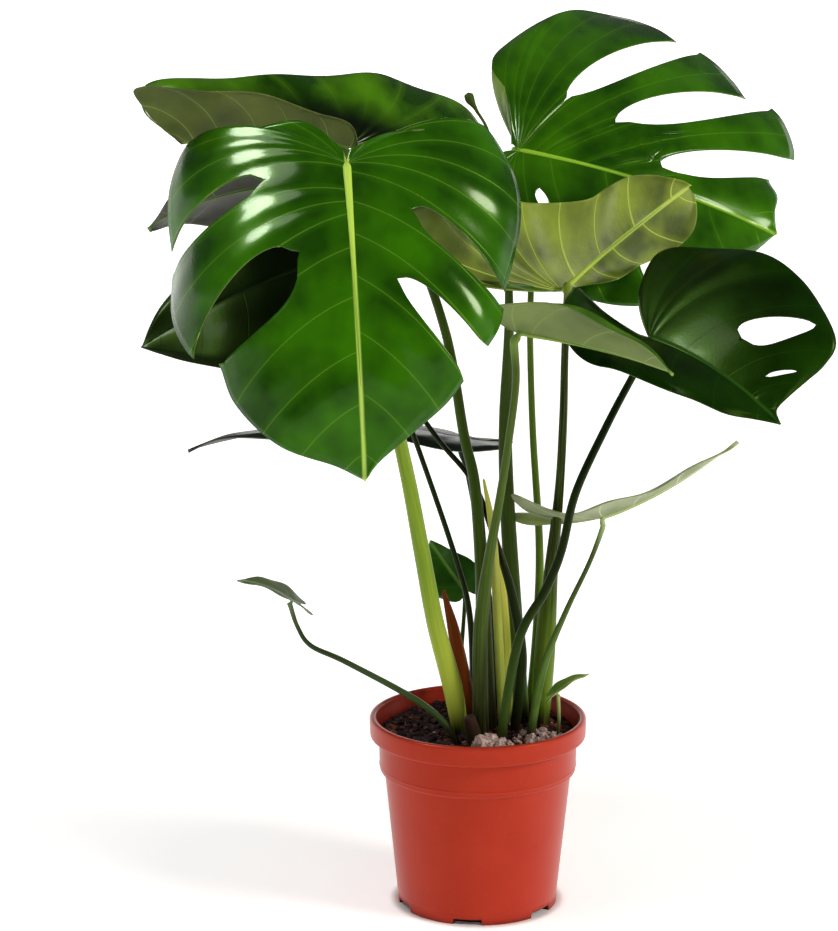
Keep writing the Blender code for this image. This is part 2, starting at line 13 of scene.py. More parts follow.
import bmesh
import bpy
import numpy as np
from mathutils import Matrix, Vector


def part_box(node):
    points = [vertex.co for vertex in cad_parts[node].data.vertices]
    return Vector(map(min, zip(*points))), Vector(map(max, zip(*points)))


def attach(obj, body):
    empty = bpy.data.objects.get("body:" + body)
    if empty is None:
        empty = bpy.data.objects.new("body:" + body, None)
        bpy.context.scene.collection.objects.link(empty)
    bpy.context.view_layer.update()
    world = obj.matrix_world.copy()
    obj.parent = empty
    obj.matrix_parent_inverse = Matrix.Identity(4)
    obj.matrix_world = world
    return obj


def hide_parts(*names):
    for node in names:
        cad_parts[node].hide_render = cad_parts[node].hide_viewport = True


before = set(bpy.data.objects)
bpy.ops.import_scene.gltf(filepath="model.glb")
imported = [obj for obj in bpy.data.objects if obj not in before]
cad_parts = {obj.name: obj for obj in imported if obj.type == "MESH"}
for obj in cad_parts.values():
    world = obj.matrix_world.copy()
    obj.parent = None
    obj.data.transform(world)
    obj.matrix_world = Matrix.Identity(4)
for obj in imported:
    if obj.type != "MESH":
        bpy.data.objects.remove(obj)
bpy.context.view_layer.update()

# %% [markdown]
# ## Helpers
#
# Paint is usually given as an sRGB hex value, while Blender's shaders want linear light,
# so one function turns one into the other. A second sets a node's inputs, and a third
# adds a node of any kind. Noise scales are in patterns per metre: 420 is one each 2.4 mm.

# %% Colours and nodes
COLOURS = {"data_type": "RGBA"}
EASED = {"interpolation_type": "SMOOTHSTEP"}


def linear(code):
    """sRGB to linear light: ((c + 0.055) / 1.055) to the power 2.4, or c / 12.92 near black."""
    srgb = np.array([int(code[i : i + 2], 16) for i in (1, 3, 5)]) / 255
    rgb = np.where(srgb > 0.04045, ((srgb + 0.055) / 1.055) ** 2.4, srgb / 12.92)
    return (*rgb.tolist(), 1.0)


def set_inputs(node, inputs):
    """Sets inputs to plain values or hex colours, or links them to an output. A node given
    for an input stands for its first output in use."""
    for socket, value in inputs.items():
        if isinstance(value, bpy.types.Node):
            value = next(output for output in value.outputs if output.enabled)
        if isinstance(value, bpy.types.NodeSocket):
            node.id_data.links.new(value, node.inputs[socket])
        else:
            node.inputs[socket].default_value = linear(value) if isinstance(value, str) else value


def add_node(tree, kind, inputs=None, **settings):
    """Adds a node, with its settings by name and then its inputs."""
    node = tree.nodes.new("ShaderNode" + kind)
    for name, value in settings.items():
        setattr(node, name, value)
    set_inputs(node, inputs or {})
    return node


def new_material(name, **inputs):
    """A material with its shader's plain values set: (material, shader, add), where add
    adds a node to it."""
    made = bpy.data.materials.new(name)
    made.use_nodes = True
    shader = made.node_tree.nodes["Principled BSDF"]
    set_inputs(shader, {socket.replace("_", " "): value for socket, value in inputs.items()})
    return made, shader, functools.partial(add_node, made.node_tree)


def from_axis(add, place):
    """The distance from the vertical axis: the length of (x, y, 0)."""
    level = add("VectorMath", {0: place, 1: (1.0, 1.0, 0.0)}, operation="MULTIPLY")
    return add("VectorMath", {0: level}, operation="LENGTH")


# %% [markdown]
# Every new piece is a grid of points, worked out as whole arrays. Its faces follow from
# the grid's size alone. Where the grid's edges meet, as round a tube or at a pole, the
# points fall on each other and are merged, which closes the surface.

# %% From a grid to a piece
def grid_faces(rows, columns):
    """Four-sided faces between each grid point, the next in its row, and the row after."""
    i = np.arange(rows - 1)[:, None] * columns
    j = np.arange(columns - 1)[None, :]
    corners = [i + j, i + j + 1, i + columns + j + 1, i + columns + j]
    return np.stack(corners, axis=-1).reshape(-1, 4)


def round_points(radius, angle, height):
    """Points about Z: (radius cos angle, radius sin angle, height)."""
    parts = [radius * np.cos(angle), radius * np.sin(angle), height]
    return np.stack(np.broadcast_arrays(*parts), axis=-1)


def make_piece(name, points, faces=None, uv=None, closed=True, merge=1e-6):
    """A smooth mesh object from points, faces, or else those of the points' own grid, and
    {UV map name: (u, v) of each point}."""
    if faces is None:
        faces = grid_faces(*points.shape[:2])
    mesh = bpy.data.meshes.new(name)
    mesh.from_pydata(points.reshape(-1, 3), [], faces)
    for layer, values in (uv or {}).items():
        corners = values.reshape(-1, 2)[faces.ravel()].astype(np.float32)
        mesh.uv_layers.new(name=layer).uv.foreach_set("vector", corners.ravel())
    shape = bmesh.new()
    shape.from_mesh(mesh)
    bmesh.ops.remove_doubles(shape, verts=shape.verts, dist=merge)
    bmesh.ops.dissolve_degenerate(shape, edges=shape.edges, dist=merge)
    if closed:
        bmesh.ops.recalc_face_normals(shape, faces=shape.faces)
    shape.to_mesh(mesh)
    shape.free()
    mesh.shade_smooth()
    piece = bpy.data.objects.new(name, mesh)
    bpy.context.scene.collection.objects.link(piece)
    return piece


def keep(piece, slot, *nodes):
    """The piece rides on the plant's one body and stands for these CAD nodes."""
    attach(piece, "root")
    if nodes:
        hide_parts(*nodes)
    return piece


# %% [markdown]
# ## Camera
#
# A long lens from three metres away and a little above the leaves, looking down by 13
# degrees. From there the rim shows as an ellipse, with the soil inside it.

# %% Camera
camera_data = bpy.data.cameras.new("camera")
camera_data.lens = 125.2
camera_data.sensor_width = 36.0
camera = bpy.data.objects.new("camera", camera_data)
camera.location = (-0.057, -3.0, 1.13)
camera.rotation_euler = (math.radians(76.95), 0.0, 0.0)
bpy.context.scene.collection.objects.link(camera)
bpy.context.scene.camera = camera
bpy.context.scene.view_settings.view_transform = "Standard"
print(f"camera: a {camera_data.lens:.0f} mm lens, {-camera.location.y:.1f} m in front of the pot")

# %% [markdown]
# ## Floor and light
#
# A white studio sweep: a flat floor that curves up into a wall, all the way round, so
# that the plant stands in front of white from any side. It is a profile turned about the
# vertical axis. Away from the plant the sweep glows, as a lit paper roll does. It glows
# less in front, because its reflection would veil the waxy leaves, and not at all under
# the pot. A large soft lamp at the right is the key, and one high at the left lights the
# blades from above. The sheen lamp is only seen in reflections, where it draws the long
# highlights, the front fill only lights what is matt, and the sky fills the shadows.

# %% Sweep
arc = np.linspace(0, math.pi / 2, 17)
sweep_profile = [(0, 0), (0.3, 0), (0.8, 0), (1.6, 0), (3.2, 0)]
sweep_profile += list(zip(4.4 + 0.8 * np.sin(arc), 0.8 - 0.8 * np.cos(arc))) + [(5.2, 1.8)]
radius, height = np.array(sweep_profile).T[..., None]
sweep_points = round_points(radius, np.linspace(0, math.tau, 97), height)
floor = make_piece("studio_sweep", sweep_points, closed=False)
print(f"sweep: {2 * radius.max():.1f} m across and {height.max():.1f} m high")


# %% White paper, lit from behind
def white_paper():
    """Matt paper whose glow grows with the distance from Z and towards the back."""
    made, shader, add = new_material("white_paper", Roughness=0.9, Emission_Color="#FFFFFF")
    place = add("TexCoord").outputs["Object"]
    ahead = add("SeparateXYZ", {0: place}).outputs["Y"]
    away = from_axis(add, place)
    to_back = {"Value": ahead, "From Min": -1.6, "From Max": -0.2, "To Min": 0.25, "To Max": 0.85}
    far = add("MapRange", to_back, **EASED)
    outwards = {"Value": away, "From Min": 0.25, "From Max": 1.2, "To Min": 0.5, "To Max": far}
    glow = add("MapRange", outwards, **EASED)
    clear = add("MapRange", {"Value": away, "From Min": 0.078, "From Max": 0.088}, **EASED)
    lit = add("Math", {0: glow, 1: clear}, operation="MULTIPLY")
    set_inputs(shader, {"Base Color": "#F6F4F2", "Emission Strength": lit})
    return made


floor.data.materials.append(white_paper())

# %% Lamps and sky
LAMPS = {
    "key": ((2.4, -1.2, 1.8), (0.0, 0.0, 0.4), 0.9, 54.0, "#FFF8F0"),
    "left_top": ((-1.0, -0.6, 2.4), (-0.1, 0.0, 0.6), 1.0, 13.0, "#FFFFFF"),
    "sheen": ((-1.3, -0.5, 2.1), (-0.1, 0.0, 0.6), 0.7, 42.0, "#FFFFFF"),
    "front_fill": ((-0.6, -2.8, 1.5), (0.0, 0.0, 0.5), 1.0, 6.0, "#F4F8FF"),
}
for name, (place, target, size, watts, tint) in LAMPS.items():
    lamp = bpy.data.lights.new(name, "AREA")
    lamp.shape, lamp.size = "DISK", size
    lamp.energy, lamp.color = watts, linear(tint)[:3]
    holder = bpy.data.objects.new(name, lamp)
    aim = np.subtract(target, place)
    tilt = math.acos(-aim[2] / np.linalg.norm(aim))
    holder.location = place
    holder.rotation_euler = (tilt, 0.0, math.atan2(aim[1], aim[0]) - math.pi / 2)
    holder.visible_diffuse = name != "sheen"
    holder.visible_glossy = name != "front_fill"
    bpy.context.scene.collection.objects.link(holder)
world = bpy.data.worlds.new("studio_sky")
world.use_nodes = True
set_inputs(world.node_tree.nodes["Background"], {"Color": "#FFFFFF", "Strength": 0.12})
bpy.context.scene.world = world
print("lamps:", ", ".join(LAMPS))

# %% [markdown]
# ## Pot
#
# A nursery pot is injection-moulded polypropylene. It tapers so that pots stack, and has
# a rolled lip to lift it by, a plain collar under the lip, and feet with gaps between
# them to let water out. A lathe could turn it, and so could the Screw modifier. Here it
# is a profile turned about Z as arrays, because the gaps at the feet then come from one
# more formula: the lowest ring rises wherever the angle is inside a gap.

# %% Sizes shared with the CAD
POT_HEIGHT = 0.187
RIM_RADIUS = 0.105
LIP_HEIGHT = 0.020
COLLAR_RADIUS = 0.0955
COLLAR_HEIGHT = 0.034
BODY_TOP_RADIUS = 0.0905
BASE_RADIUS = 0.078
WALL = 0.0022
FLOOR = 0.0075
NOTCHES = 6
NOTCH_WIDTH = 0.029
NOTCH_HEIGHT = 0.0055
NOTCH_DEPTH = 0.010
FIRST_NOTCH = math.radians(-98)
SOIL_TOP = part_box("soil")[1].z
CROWN = np.array((0.0, 0.0, SOIL_TOP))
print(f"the soil lies {1000 * (POT_HEIGHT - SOIL_TOP):.0f} mm below the rim")


# %% The pot's surface
def rounded(corners, steps=5):
    """A profile whose (radius, height, fillet) corners are cut by an arc-like curve:
    from the point one fillet before the corner to one fillet after it, each place is
    (1 - f) squared of the first, 2 f (1 - f) of the corner and f squared of the last."""
    points = []
    given = np.array([c[:2] for c in corners], float)
    for k, (_, _, fillet) in enumerate(corners):
        if fillet == 0 or k in (0, len(corners) - 1):
            points.append(given[k])
            continue
        before = given[k - 1] - given[k]
        after = given[k + 1] - given[k]
        start = given[k] + before * min(fillet / np.linalg.norm(before), 0.5)
        end = given[k] + after * min(fillet / np.linalg.norm(after), 0.5)
        f = np.linspace(0, 1, steps + 1)[:, None]
        points += list((1 - f) ** 2 * start + 2 * f * (1 - f) * given[k] + f**2 * end)
    return np.array(points)


lip_bottom = POT_HEIGHT - LIP_HEIGHT
collar_bottom = lip_bottom - COLLAR_HEIGHT
pot_corners = [
    (0.0, FLOOR, 0), (BASE_RADIUS - WALL, FLOOR, 0.002),
    (BODY_TOP_RADIUS - WALL, collar_bottom, 0.002),
    (COLLAR_RADIUS - WALL, collar_bottom + 0.005, 0.002),
    (COLLAR_RADIUS - WALL, lip_bottom, 0.004), (RIM_RADIUS - 0.0068, POT_HEIGHT - 0.004, 0.003),
    (RIM_RADIUS - 0.0062, POT_HEIGHT, 0.0026), (RIM_RADIUS, POT_HEIGHT, 0.0042),
    (RIM_RADIUS - 0.0006, lip_bottom + 0.001, 0.0022), (RIM_RADIUS - 0.0028, lip_bottom, 0.001),
    (COLLAR_RADIUS + 0.0004, lip_bottom - 0.0005, 0.0016),
    (COLLAR_RADIUS - 0.0002, collar_bottom + 0.0075, 0.0008),
    (COLLAR_RADIUS + 0.0003, collar_bottom + 0.0062, 0.0006),
    (COLLAR_RADIUS - 0.0003, collar_bottom + 0.0046, 0.0006),
    (COLLAR_RADIUS - 0.0008, collar_bottom + 0.0008, 0.0012),
    (BODY_TOP_RADIUS, collar_bottom - 0.0006, 0.0012),
    (BASE_RADIUS + 0.0001, 0.012, 0.001), (BASE_RADIUS - 0.0004, 0.010, 0.0006),
    (BASE_RADIUS - 0.0006, 0.0, 0.0),
]
pot_profile = rounded(pot_corners)


def pot_surface():
    """The turned profile, with the foot's height raised to the gap's where the angle
    lies within half a gap of a gap's middle."""
    half = NOTCH_WIDTH / 2 / BASE_RADIUS
    edge = np.array([-1.0, -0.96, 0.96, 1.0]) * half
    sector = math.tau / NOTCHES
    plain = np.linspace(half, sector - half, 24)[1:-1]
    gap = np.linspace(-half, half, 10)[1:-1]
    one = np.sort(np.concatenate([edge, gap, plain]))
    turn = FIRST_NOTCH + np.concatenate([one + k * sector for k in range(NOTCHES)])
    turn = np.append(turn, turn[0] + math.tau)
    in_gap = np.abs((turn - FIRST_NOTCH + half) % sector - half) < 0.98 * half
    foot = np.where(in_gap, NOTCH_HEIGHT, 0.0)
    radius = np.repeat(pot_profile[:, :1], len(turn), axis=1)
    height = np.repeat(pot_profile[:, 1:], len(turn), axis=1)
    height[-1] = foot
    inner = BASE_RADIUS - NOTCH_DEPTH
    under = [(BASE_RADIUS - 0.0014, foot), (inner + 0.0004, foot), (inner, 0 * foot)]
    for ring, rise in [*under, (0.0, 0 * foot)]:
        radius = np.vstack([radius, 0 * turn + ring])
        height = np.vstack([height, rise])
    return round_points(radius, turn, height)


pot = make_piece("nursery_pot", pot_surface())
keep(pot, "terracotta_plastic", "pot")
print(f"pot: {len(pot.data.polygons)} faces")

# %% [markdown]
# The plastic is terracotta-coloured polypropylene, moulded with a satin finish: broad
# soft highlights, an even colour with a slightly dusty cast, and a very fine texture
# from the tool. The colour and the gloss vary by a few percent over some centimetres,
# which keeps it from looking like paint. Inside the drain gaps the plastic is painted
# nearly black: painted shade, for the shadow under the pot.

# %% Terracotta polypropylene
def terracotta_polypropylene():
    """A cloud of two reds under dusty specks 4 mm apart, and painted shade, nearly black, inside the
    drain gaps.
    """
    made, shader, add = new_material("terracotta_polypropylene", IOR=1.4, Specular_Tint="#FF8A60")
    place = add("TexCoord").outputs["Object"]
    cloud = add("TexNoise", {"Vector": place, "Scale": 22.0, "Detail": 3.0})
    colour = add("Mix", {0: cloud, 6: "#A02C1C", 7: "#AE3626"}, **COLOURS)
    dust = add("TexNoise", {"Vector": place, "Scale": 260.0, "Detail": 4.0})
    specks = {"Value": dust, "From Min": 0.62, "From Max": 0.8, "To Max": 0.35}
    dusty = {0: add("MapRange", specks), 6: colour, 7: "#BC4C38"}
    height = add("SeparateXYZ", {0: place}).outputs["Z"]
    # Painted shade: inside the drain gaps the plastic is near black, for the shadow under the pot.
    inside = add("Math", {0: from_axis(add, place), 1: BASE_RADIUS - 0.0012}, operation="LESS_THAN")
    low = add("Math", {0: height, 1: NOTCH_HEIGHT + 0.0005}, operation="LESS_THAN")
    gaps = add("Math", {0: inside, 1: low}, operation="MULTIPLY")
    painted_gap_shade = {0: gaps, 6: add("Mix", dusty, **COLOURS), 7: "#160806"}
    grain = add("TexNoise", {"Vector": place, "Scale": 900.0, "Detail": 2.0})
    skin = {
        "Base Color": add("Mix", painted_gap_shade, **COLOURS),
        "Roughness": add("MapRange", {"Value": cloud, "To Min": 0.26, "To Max": 0.36}),
        "Normal": add("Bump", {"Strength": 0.12, "Distance": 0.0003, "Height": grain}),
    }
    set_inputs(shader, skin)
    return made


pot.data.materials.append(terracotta_polypropylene())

# %% [markdown]
# ## Soil
#
# Monstera grows in a loose mix of peat, bark chips and pumice. The bed is a disc whose
# height follows a few crossed waves, so it is lumpy. It is a closed drum that fills the
# pot. Over a thousand chips lie on it, with two small heaps of pumice at the front: each
# is an icosahedron stretched, squashed, knocked out of shape at random and turned, all
# computed as one array.

# %% The bed of soil
STREWN = 0.089


def lumps(x, y, seed, size):
    """A sum of sixteen sine waves in random directions, about size metres long, from -1 to 1."""
    rng = np.random.default_rng(seed)
    turn = rng.uniform(0, math.tau, 16)
    wave = math.tau / (size * rng.uniform(0.6, 1.6, 16))
    start = rng.uniform(0, math.tau, 16)
    along = x[..., None] * np.cos(turn) + y[..., None] * np.sin(turn)
    return np.sin(along * wave + start).sum(axis=-1) / 8


soil_radius = COLLAR_RADIUS - WALL - 0.0004
rings = np.concatenate([np.linspace(0, soil_radius, 60), [soil_radius, 0.0]])
soil_points = round_points(rings[:, None], np.linspace(0, math.tau, 161), 0.0)
x, y, _ = np.moveaxis(soil_points, -1, 0)
bed = SOIL_TOP - 0.0006 + 0.0017 * lumps(x, y, 3, 0.03) + 0.0008 * lumps(x, y, 4, 0.008)
bed[0] = bed[0, 0]
bed[-2:] = SOIL_TOP - 0.02
bed[:, -1] = bed[:, 0]
soil_points[..., 2] = bed
soil = keep(make_piece("soil_bed", soil_points), "potting_soil", "soil")
print(f"soil bed: {1000 * np.ptp(bed[:-2]):.1f} mm from its lowest hollow to its highest lump")


# %% Bark and pumice
def chips(name, count, size, squash, seed, centre=(0.0, 0.0), spread=STREWN, heap=0.0):
    """Lumps strewn over a disc: icosahedron corners times a random length each, times a
    random size, turned about X, Y and Z, and set down on the soil, or on a heap that is
    heap high in its middle."""
    rng = np.random.default_rng(seed)
    base = bmesh.new()
    bmesh.ops.create_icosphere(base, subdivisions=1, radius=0.5)
    corners = np.array([v.co[:] for v in base.verts])
    faces = np.array([[v.index for v in f.verts] for f in base.faces])
    base.free()
    shape = corners * rng.uniform(0.75, 1.25, (count, len(corners), 1))
    sizes = size * rng.lognormal(0, 0.35, (count, 1, 1)) * np.array([1.0, 0.65, squash])
    shape = shape * sizes
    turn = rng.uniform(-1, 1, (count, 3)) * np.array([0.5, 0.5, math.pi])
    for axis in range(3):
        c, s = np.cos(turn[:, axis])[:, None], np.sin(turn[:, axis])[:, None]
        a, b = (axis + 1) % 3, (axis + 2) % 3
        first, second = shape[..., a].copy(), shape[..., b].copy()
        shape[..., a] = c * first - s * second
        shape[..., b] = s * first + c * second
    out = spread * np.sqrt(rng.uniform(0, 1, count))
    round_about = rng.uniform(0, math.tau, count)
    x = centre[0] + out * np.cos(round_about)
    y = centre[1] + out * np.sin(round_about)
    far = np.hypot(x, y) / STREWN
    x, y = x / np.maximum(far, 1), y / np.maximum(far, 1)
    z = SOIL_TOP + 0.0006 * lumps(x, y, 3, 0.03) + rng.uniform(0, 0.3, count) * size
    z += heap * (1 - (out / spread) ** 2)
    points = shape + np.stack([x, y, z], axis=-1)[:, None, :]
    every = (faces + len(corners) * np.arange(count)[:, None, None]).reshape(-1, 3)
    piece = make_piece(name, points, every, merge=1e-7)
    piece.data.shade_flat()
    return keep(piece, "potting_soil")


dark_bark = chips("dark_bark", 900, 0.0065, 0.5, 11)
red_bark = chips("red_bark", 260, 0.0075, 0.4, 12)
strewn = chips("pumice", 90, 0.0046, 0.8, 13)
heaped = chips("pumice_heap", 110, 0.0078, 0.9, 14, (0.014, -0.066), 0.020, 0.009)
beside = chips("pumice_side", 70, 0.0066, 0.8, 15, (0.060, -0.036), 0.026, 0.005)
pumice = [strewn, heaped, beside]
print("chips:", sum(len(lumpy.data.polygons) for lumpy in (dark_bark, red_bark, *pumice)) // 20)

# %% [markdown]
# Peat is almost black when damp, and matt. Pine bark is rust-brown and dull, and pumice
# is a pale pinkish grey. They share one recipe: a cloud of two colours a few
# millimetres across, rough all over, with a bump at the size of crumbs.

# %% Peat, bark and pumice
def loose_mix(name, dark, light, crumb_mm):
    """Crumbs of two colours, crumb_mm across, each standing out of the surface."""
    made, shader, add = new_material(name, Roughness=0.95, Specular_IOR_Level=0.25)
    place = add("TexCoord").outputs["Object"]
    crumb = add("TexNoise", {"Vector": place, "Scale": 1000 / crumb_mm, "Detail": 4.0})
    share = add("MapRange", {"Value": crumb, "From Min": 0.35, "From Max": 0.68})
    colour = add("Mix", {0: share, 6: dark, 7: light}, **COLOURS)
    bump = add("Bump", {"Strength": 0.7, "Distance": 0.0012, "Height": crumb})
    set_inputs(shader, {"Base Color": colour, "Normal": bump})
    return made


soil.data.materials.append(loose_mix("damp_peat", "#12070A", "#2E171A", 4.0))
dark_bark.data.materials.append(loose_mix("dark_pine_bark", "#180A0C", "#3E2220", 6.0))
red_bark.data.materials.append(loose_mix("rust_pine_bark", "#4A2018", "#7E4632", 5.0))
pale_pumice = loose_mix("pale_pumice", "#8C6E68", "#D8C2BA", 3.0)
for piece in pumice:
    piece.data.materials.append(pale_pumice)

# %% [markdown]
# ## Leaf shapes
#
# A monstera blade is a heart whose margin is cut in to near the midrib, with a hole here
# and there. Each half is given as its margin, from the notch where the stalk joins,
# round the outside, to the tip, in hundredths of the blade's length: (across, along),
# and, where it matters, the place on the midrib that its vein comes from. A SPLIT (start,
# belly) or a HOLE (start, end, belly) stands between the two margin points it lies between.

# %% Margins
SPLIT = "split"
HOLE = "hole"
HEART = [
    (3, -5), (14, -17), (28, -16), (42, 0), (46, 20), (42, 42), (32, 62), (19, 80), (7, 93),
    (0, 100),
]
NARROW = [
    (2, -5), (10, -17), (20, -14), (27, 0), (28, 20), (25, 42), (19, 62), (12, 80), (5, 93),
    (0, 100),
]
ARROW = [(3, -5), (10, -26), (17, -30), (23, -12), (25, 10), (22, 35), (15, 60), (7, 83), (0, 100)]
YOUNG = [
    (3, -4), (7, -30), (12, -56), (19, -60), (22, -34), (20, 0), (17, 20), (13, 45), (7, 75),
    (2, 93), (0, 100),
]
FRONT_LEFT = [
    (1, -5), (13, -15), (30, -15.5), (44, -17), (54, -19), (63, -8), (67, 4), (69, 15, 2),
    (SPLIT, 40, 5), (70, 22, 8), (70, 29, 10), (68, 38, 12), (63, 49, 15), (56, 59, 18),
    (SPLIT, 34, 10), (48, 60, 25), (42, 74, 42), (26, 88, 68), (9, 95, 88), (0, 100),
]
FRONT_RIGHT = [
    (1, -5), (15, -10), (30, -12), (40, -17), (49, -17), (57, -3), (59, 15), (56, 30), (51, 42, 5),
    (SPLIT, 40, 5), (50, 46, 10), (46, 54, 16), (41, 61, 24), (SPLIT, 36, 0), (34, 70, 36),
    (27, 78, 50), (16, 86, 70), (5, 94, 90), (0, 100),
]
UPPER_FAR = [
    (2, -3), (14, -6), (27, -10), (38, -15), (50, -10), (66, 2), (82, 16), (86, 33), (81, 46),
    (74, 57, 0), (SPLIT, 34, 9), (77, 65, 0), (74, 74, 3), (66, 81, 6), (57, 86, 8),
    (SPLIT, 36, 10), (58, 95, 10), (50, 102, 20), (37, 107, 30), (SPLIT, 25, 3), (24, 96, 45),
    (16, 99, 65), (8, 98, 85), (0, 100),
]
UPPER_NEAR = [
    (2, -5), (10, -14), (22, -17), (36, -10), (46, 5), (50, 22), (HOLE, 30, 44, 2.2), (50, 42),
    (44, 60), (SPLIT, 50, 3), (34, 70), (24, 82), (10, 93), (0, 100),
]
BACK_FAR = [
    (1, -5), (13, -46), (29, -78), (53, -90), (69, -70), (64, -24), (52, 10), (45, 35),
    (43, 60, 40), (45, 88, 60), (46, 112, 80), (28, 116, 90), (6, 104, 97), (0, 100),
]
BACK_NEAR = [
    (2, -6), (16, 4), (22, 25), (30, 50, 35), (38, 78, 55), (45, 98, 72), (50, 110, 84),
    (47, 117, 90), (20, 110, 95), (5, 103, 98), (0, 100),
]
CENTRE_LEFT = [
    (2, -2), (19, -20), (42, -45), (62, -64), (88, -76), (104, -66), (98, -38), (76, -10),
    (52, 12), (34, 40), (28, 60), (22, 80), (8, 95), (0, 100),
]
CENTRE_RIGHT = [(1, 0), (6, 12), (14, 30), (22, 50), (26, 68), (22, 86), (12, 98), (0, 100)]
RIGHT_FAR = [
    (2, -3), (18, -20), (32, -31), (54, -34), (69, -10), (78, 24), (77, 50), (68, 71),
    (HOLE, 37.5, 90, 10), (57, 88), (44, 92), (HOLE, 40, 78, 2.5), (30, 92), (14, 92), (4, 93),
    (0, 100),
]
RIGHT_NEAR = [
    (2, -3), (5, -24), (12, -46), (24, -58), (36, -50), (40, -25), (38, 6), (34, 32), (31, 54),
    (24, 74), (10, 88), (0, 100),
]

# %% [markdown]
# Each leaf has its foot, where the stalk joins, and its tip, both in millimetres from the
# crown of the plant, and the way its glossy side faces. A flat blade is then bent: drooped
# along the midrib, folded at the midrib, curled from the midrib to the margin, and bent
# behind the foot. Those angles are in radians. Where two are given, they are for the right
# and the left half.

# %% Leaves
BACK = (0.3, 0.3)
LEAVES = {
    "front": dict(
        foot=(-122, -100, 565), tip=(-105, -200, 295), face=(0.05, -0.85, 0.5),
        right=FRONT_LEFT, left=FRONT_RIGHT, droop=0.6, fold=(0.15, 0.1), curl=(0.9, 0.7),
    ),
    "upper_right": dict(
        foot=(40, 120, 548), tip=(294, 160, 459), face=(0.1, -0.75, 0.6),
        right=UPPER_NEAR, left=UPPER_FAR, droop=0.5, fold=(0.1, 0.1), curl=(0.3, 0.4),
    ),
    "back_left": dict(
        foot=(-123, 0, 566), tip=(-276, -30, 573), face=(0.0, -0.35, 0.95),
        right=BACK_FAR, left=BACK_NEAR, droop=0.5, fold=(0.65, 1.45), curl=(0.3, 0.3),
        back=(-0.4, -0.4),
    ),
    "centre": dict(
        foot=(78, 6, 430), tip=(202, 74, 520), face=(-0.3, 0.85, -0.1),
        right=CENTRE_LEFT, left=CENTRE_RIGHT, droop=0.4, fold=(0.1, 0.3), curl=(0.3, 0.3),
        ripple=0.014, sway=0.2,
    ),
    "right": dict(
        foot=(158, -30, 392), tip=(272, -120, 329), face=(0.1, -0.6, 0.8),
        right=RIGHT_NEAR, left=RIGHT_FAR, droop=0.7, fold=(0.2, 0.5), curl=(0.4, 0.2),
        back=(3.2, 0.3),
    ),
    "middle": dict(
        foot=(33, -90, 408), tip=(173, -130, 378), face=(0.1, 0.3, 0.9),
        right=HEART, left=HEART, width=0.75, droop=0.2, fold=(0.6, 0.9), curl=(0.2, 0.2),
    ),
    "dark": dict(
        foot=(-158, 20, 453), tip=(-317, -20, 381), face=(0.1, -0.7, 0.6),
        right=NARROW, left=HEART, width=1.2, droop=0.5, fold=(0.1, 0.1), curl=(0.4, 0.4),
    ),
    "curled": dict(
        foot=(-150, 100, 517), tip=(-316, 60, 481), face=(0.3, 0.6, 0.7),
        right=HEART, left=HEART, width=0.9, droop=0.7, fold=(0.2, 0.3), curl=(0.5, 0.8),
    ),
    "low": dict(
        foot=(-15, 140, 258), tip=(-288, 160, 241), face=(0.0, 0.15, 1.0),
        right=HEART, left=HEART, width=0.6, droop=0.5, fold=(0.1, 0.1), curl=(0.5, 0.5),
    ),
    "young": dict(
        foot=(117, 12, 208), tip=(248, 30, 280), face=(-0.5, 0.35, 0.8),
        right=YOUNG, left=YOUNG, droop=-0.4, fold=(0.3, 0.6), curl=(0.2, 0.2),
        back=(1.6, 0.8),
    ),
    "side": dict(
        foot=(-178, 3, 128), tip=(-230, -20, 155), face=(0.3, -0.1, 0.95),
        right=ARROW, left=ARROW, width=1.3, droop=0.5, fold=(0.3, 0.3), curl=(0.2, 0.2),
    ),
    "seedling": dict(
        foot=(74, -35, 47), tip=(105, -40, 68), face=(-0.4, -0.1, 0.9),
        right=ARROW, left=ARROW, width=1.3, droop=0.4, fold=(0.4, 0.4), curl=(0.2, 0.2),
    ),
    "inner": dict(
        foot=(-13, 80, 120), tip=(-46, 60, 173), face=(-0.4, -0.9, 0.1),
        right=HEART, left=HEART, droop=0.15, fold=(0.15, 0.15), curl=(0.1, 0.1),
    ),
}

# %% [markdown]
# ## Blade surface
#
# The surface is a function of two parameters: how far out from the midrib a point is,
# 0 to 1, and how far along the margin its vein ends. Every vein runs from the midrib
# to the margin, so the lines of the grid follow the veins, and a split is simply two
# neighbouring lines that part. Modelling and sculpting by hand would be the other way,
# but then the veins, the splits and the bends couldn't be changed one at a time.

# %% Curves through points
def unit(vector):
    vector = np.asarray(vector, float)
    return vector / np.linalg.norm(vector)


def through(points, per_span):
    """The Catmull-Rom curve: each span's cubic passes through its two points with the
    slope of the line between their neighbours."""
    given = np.asarray(points, float)
    last = len(given) - 1
    padded = np.vstack([2 * given[0] - given[1], given, 2 * given[-1] - given[-2]])
    place = np.linspace(0, last, per_span * last + 1)
    span = np.minimum(place.astype(int), last - 1)
    f = (place - span)[:, None]
    a, b, c, d = (padded[span + i] for i in range(4))
    bend = (2 * a - 5 * b + 4 * c - d) * f**2 + (3 * b - a - 3 * c + d) * f**3
    return 0.5 * (2 * b + (c - a) * f + bend)


def smooth(x):
    """0 below 0, 1 above 1, and 3 x squared - 2 x cubed between them."""
    x = np.clip(x, 0, 1)
    return x * x * (3 - 2 * x)


# %% One half of a blade
VEIN_SPACING = 0.042
CORNER = 0.012


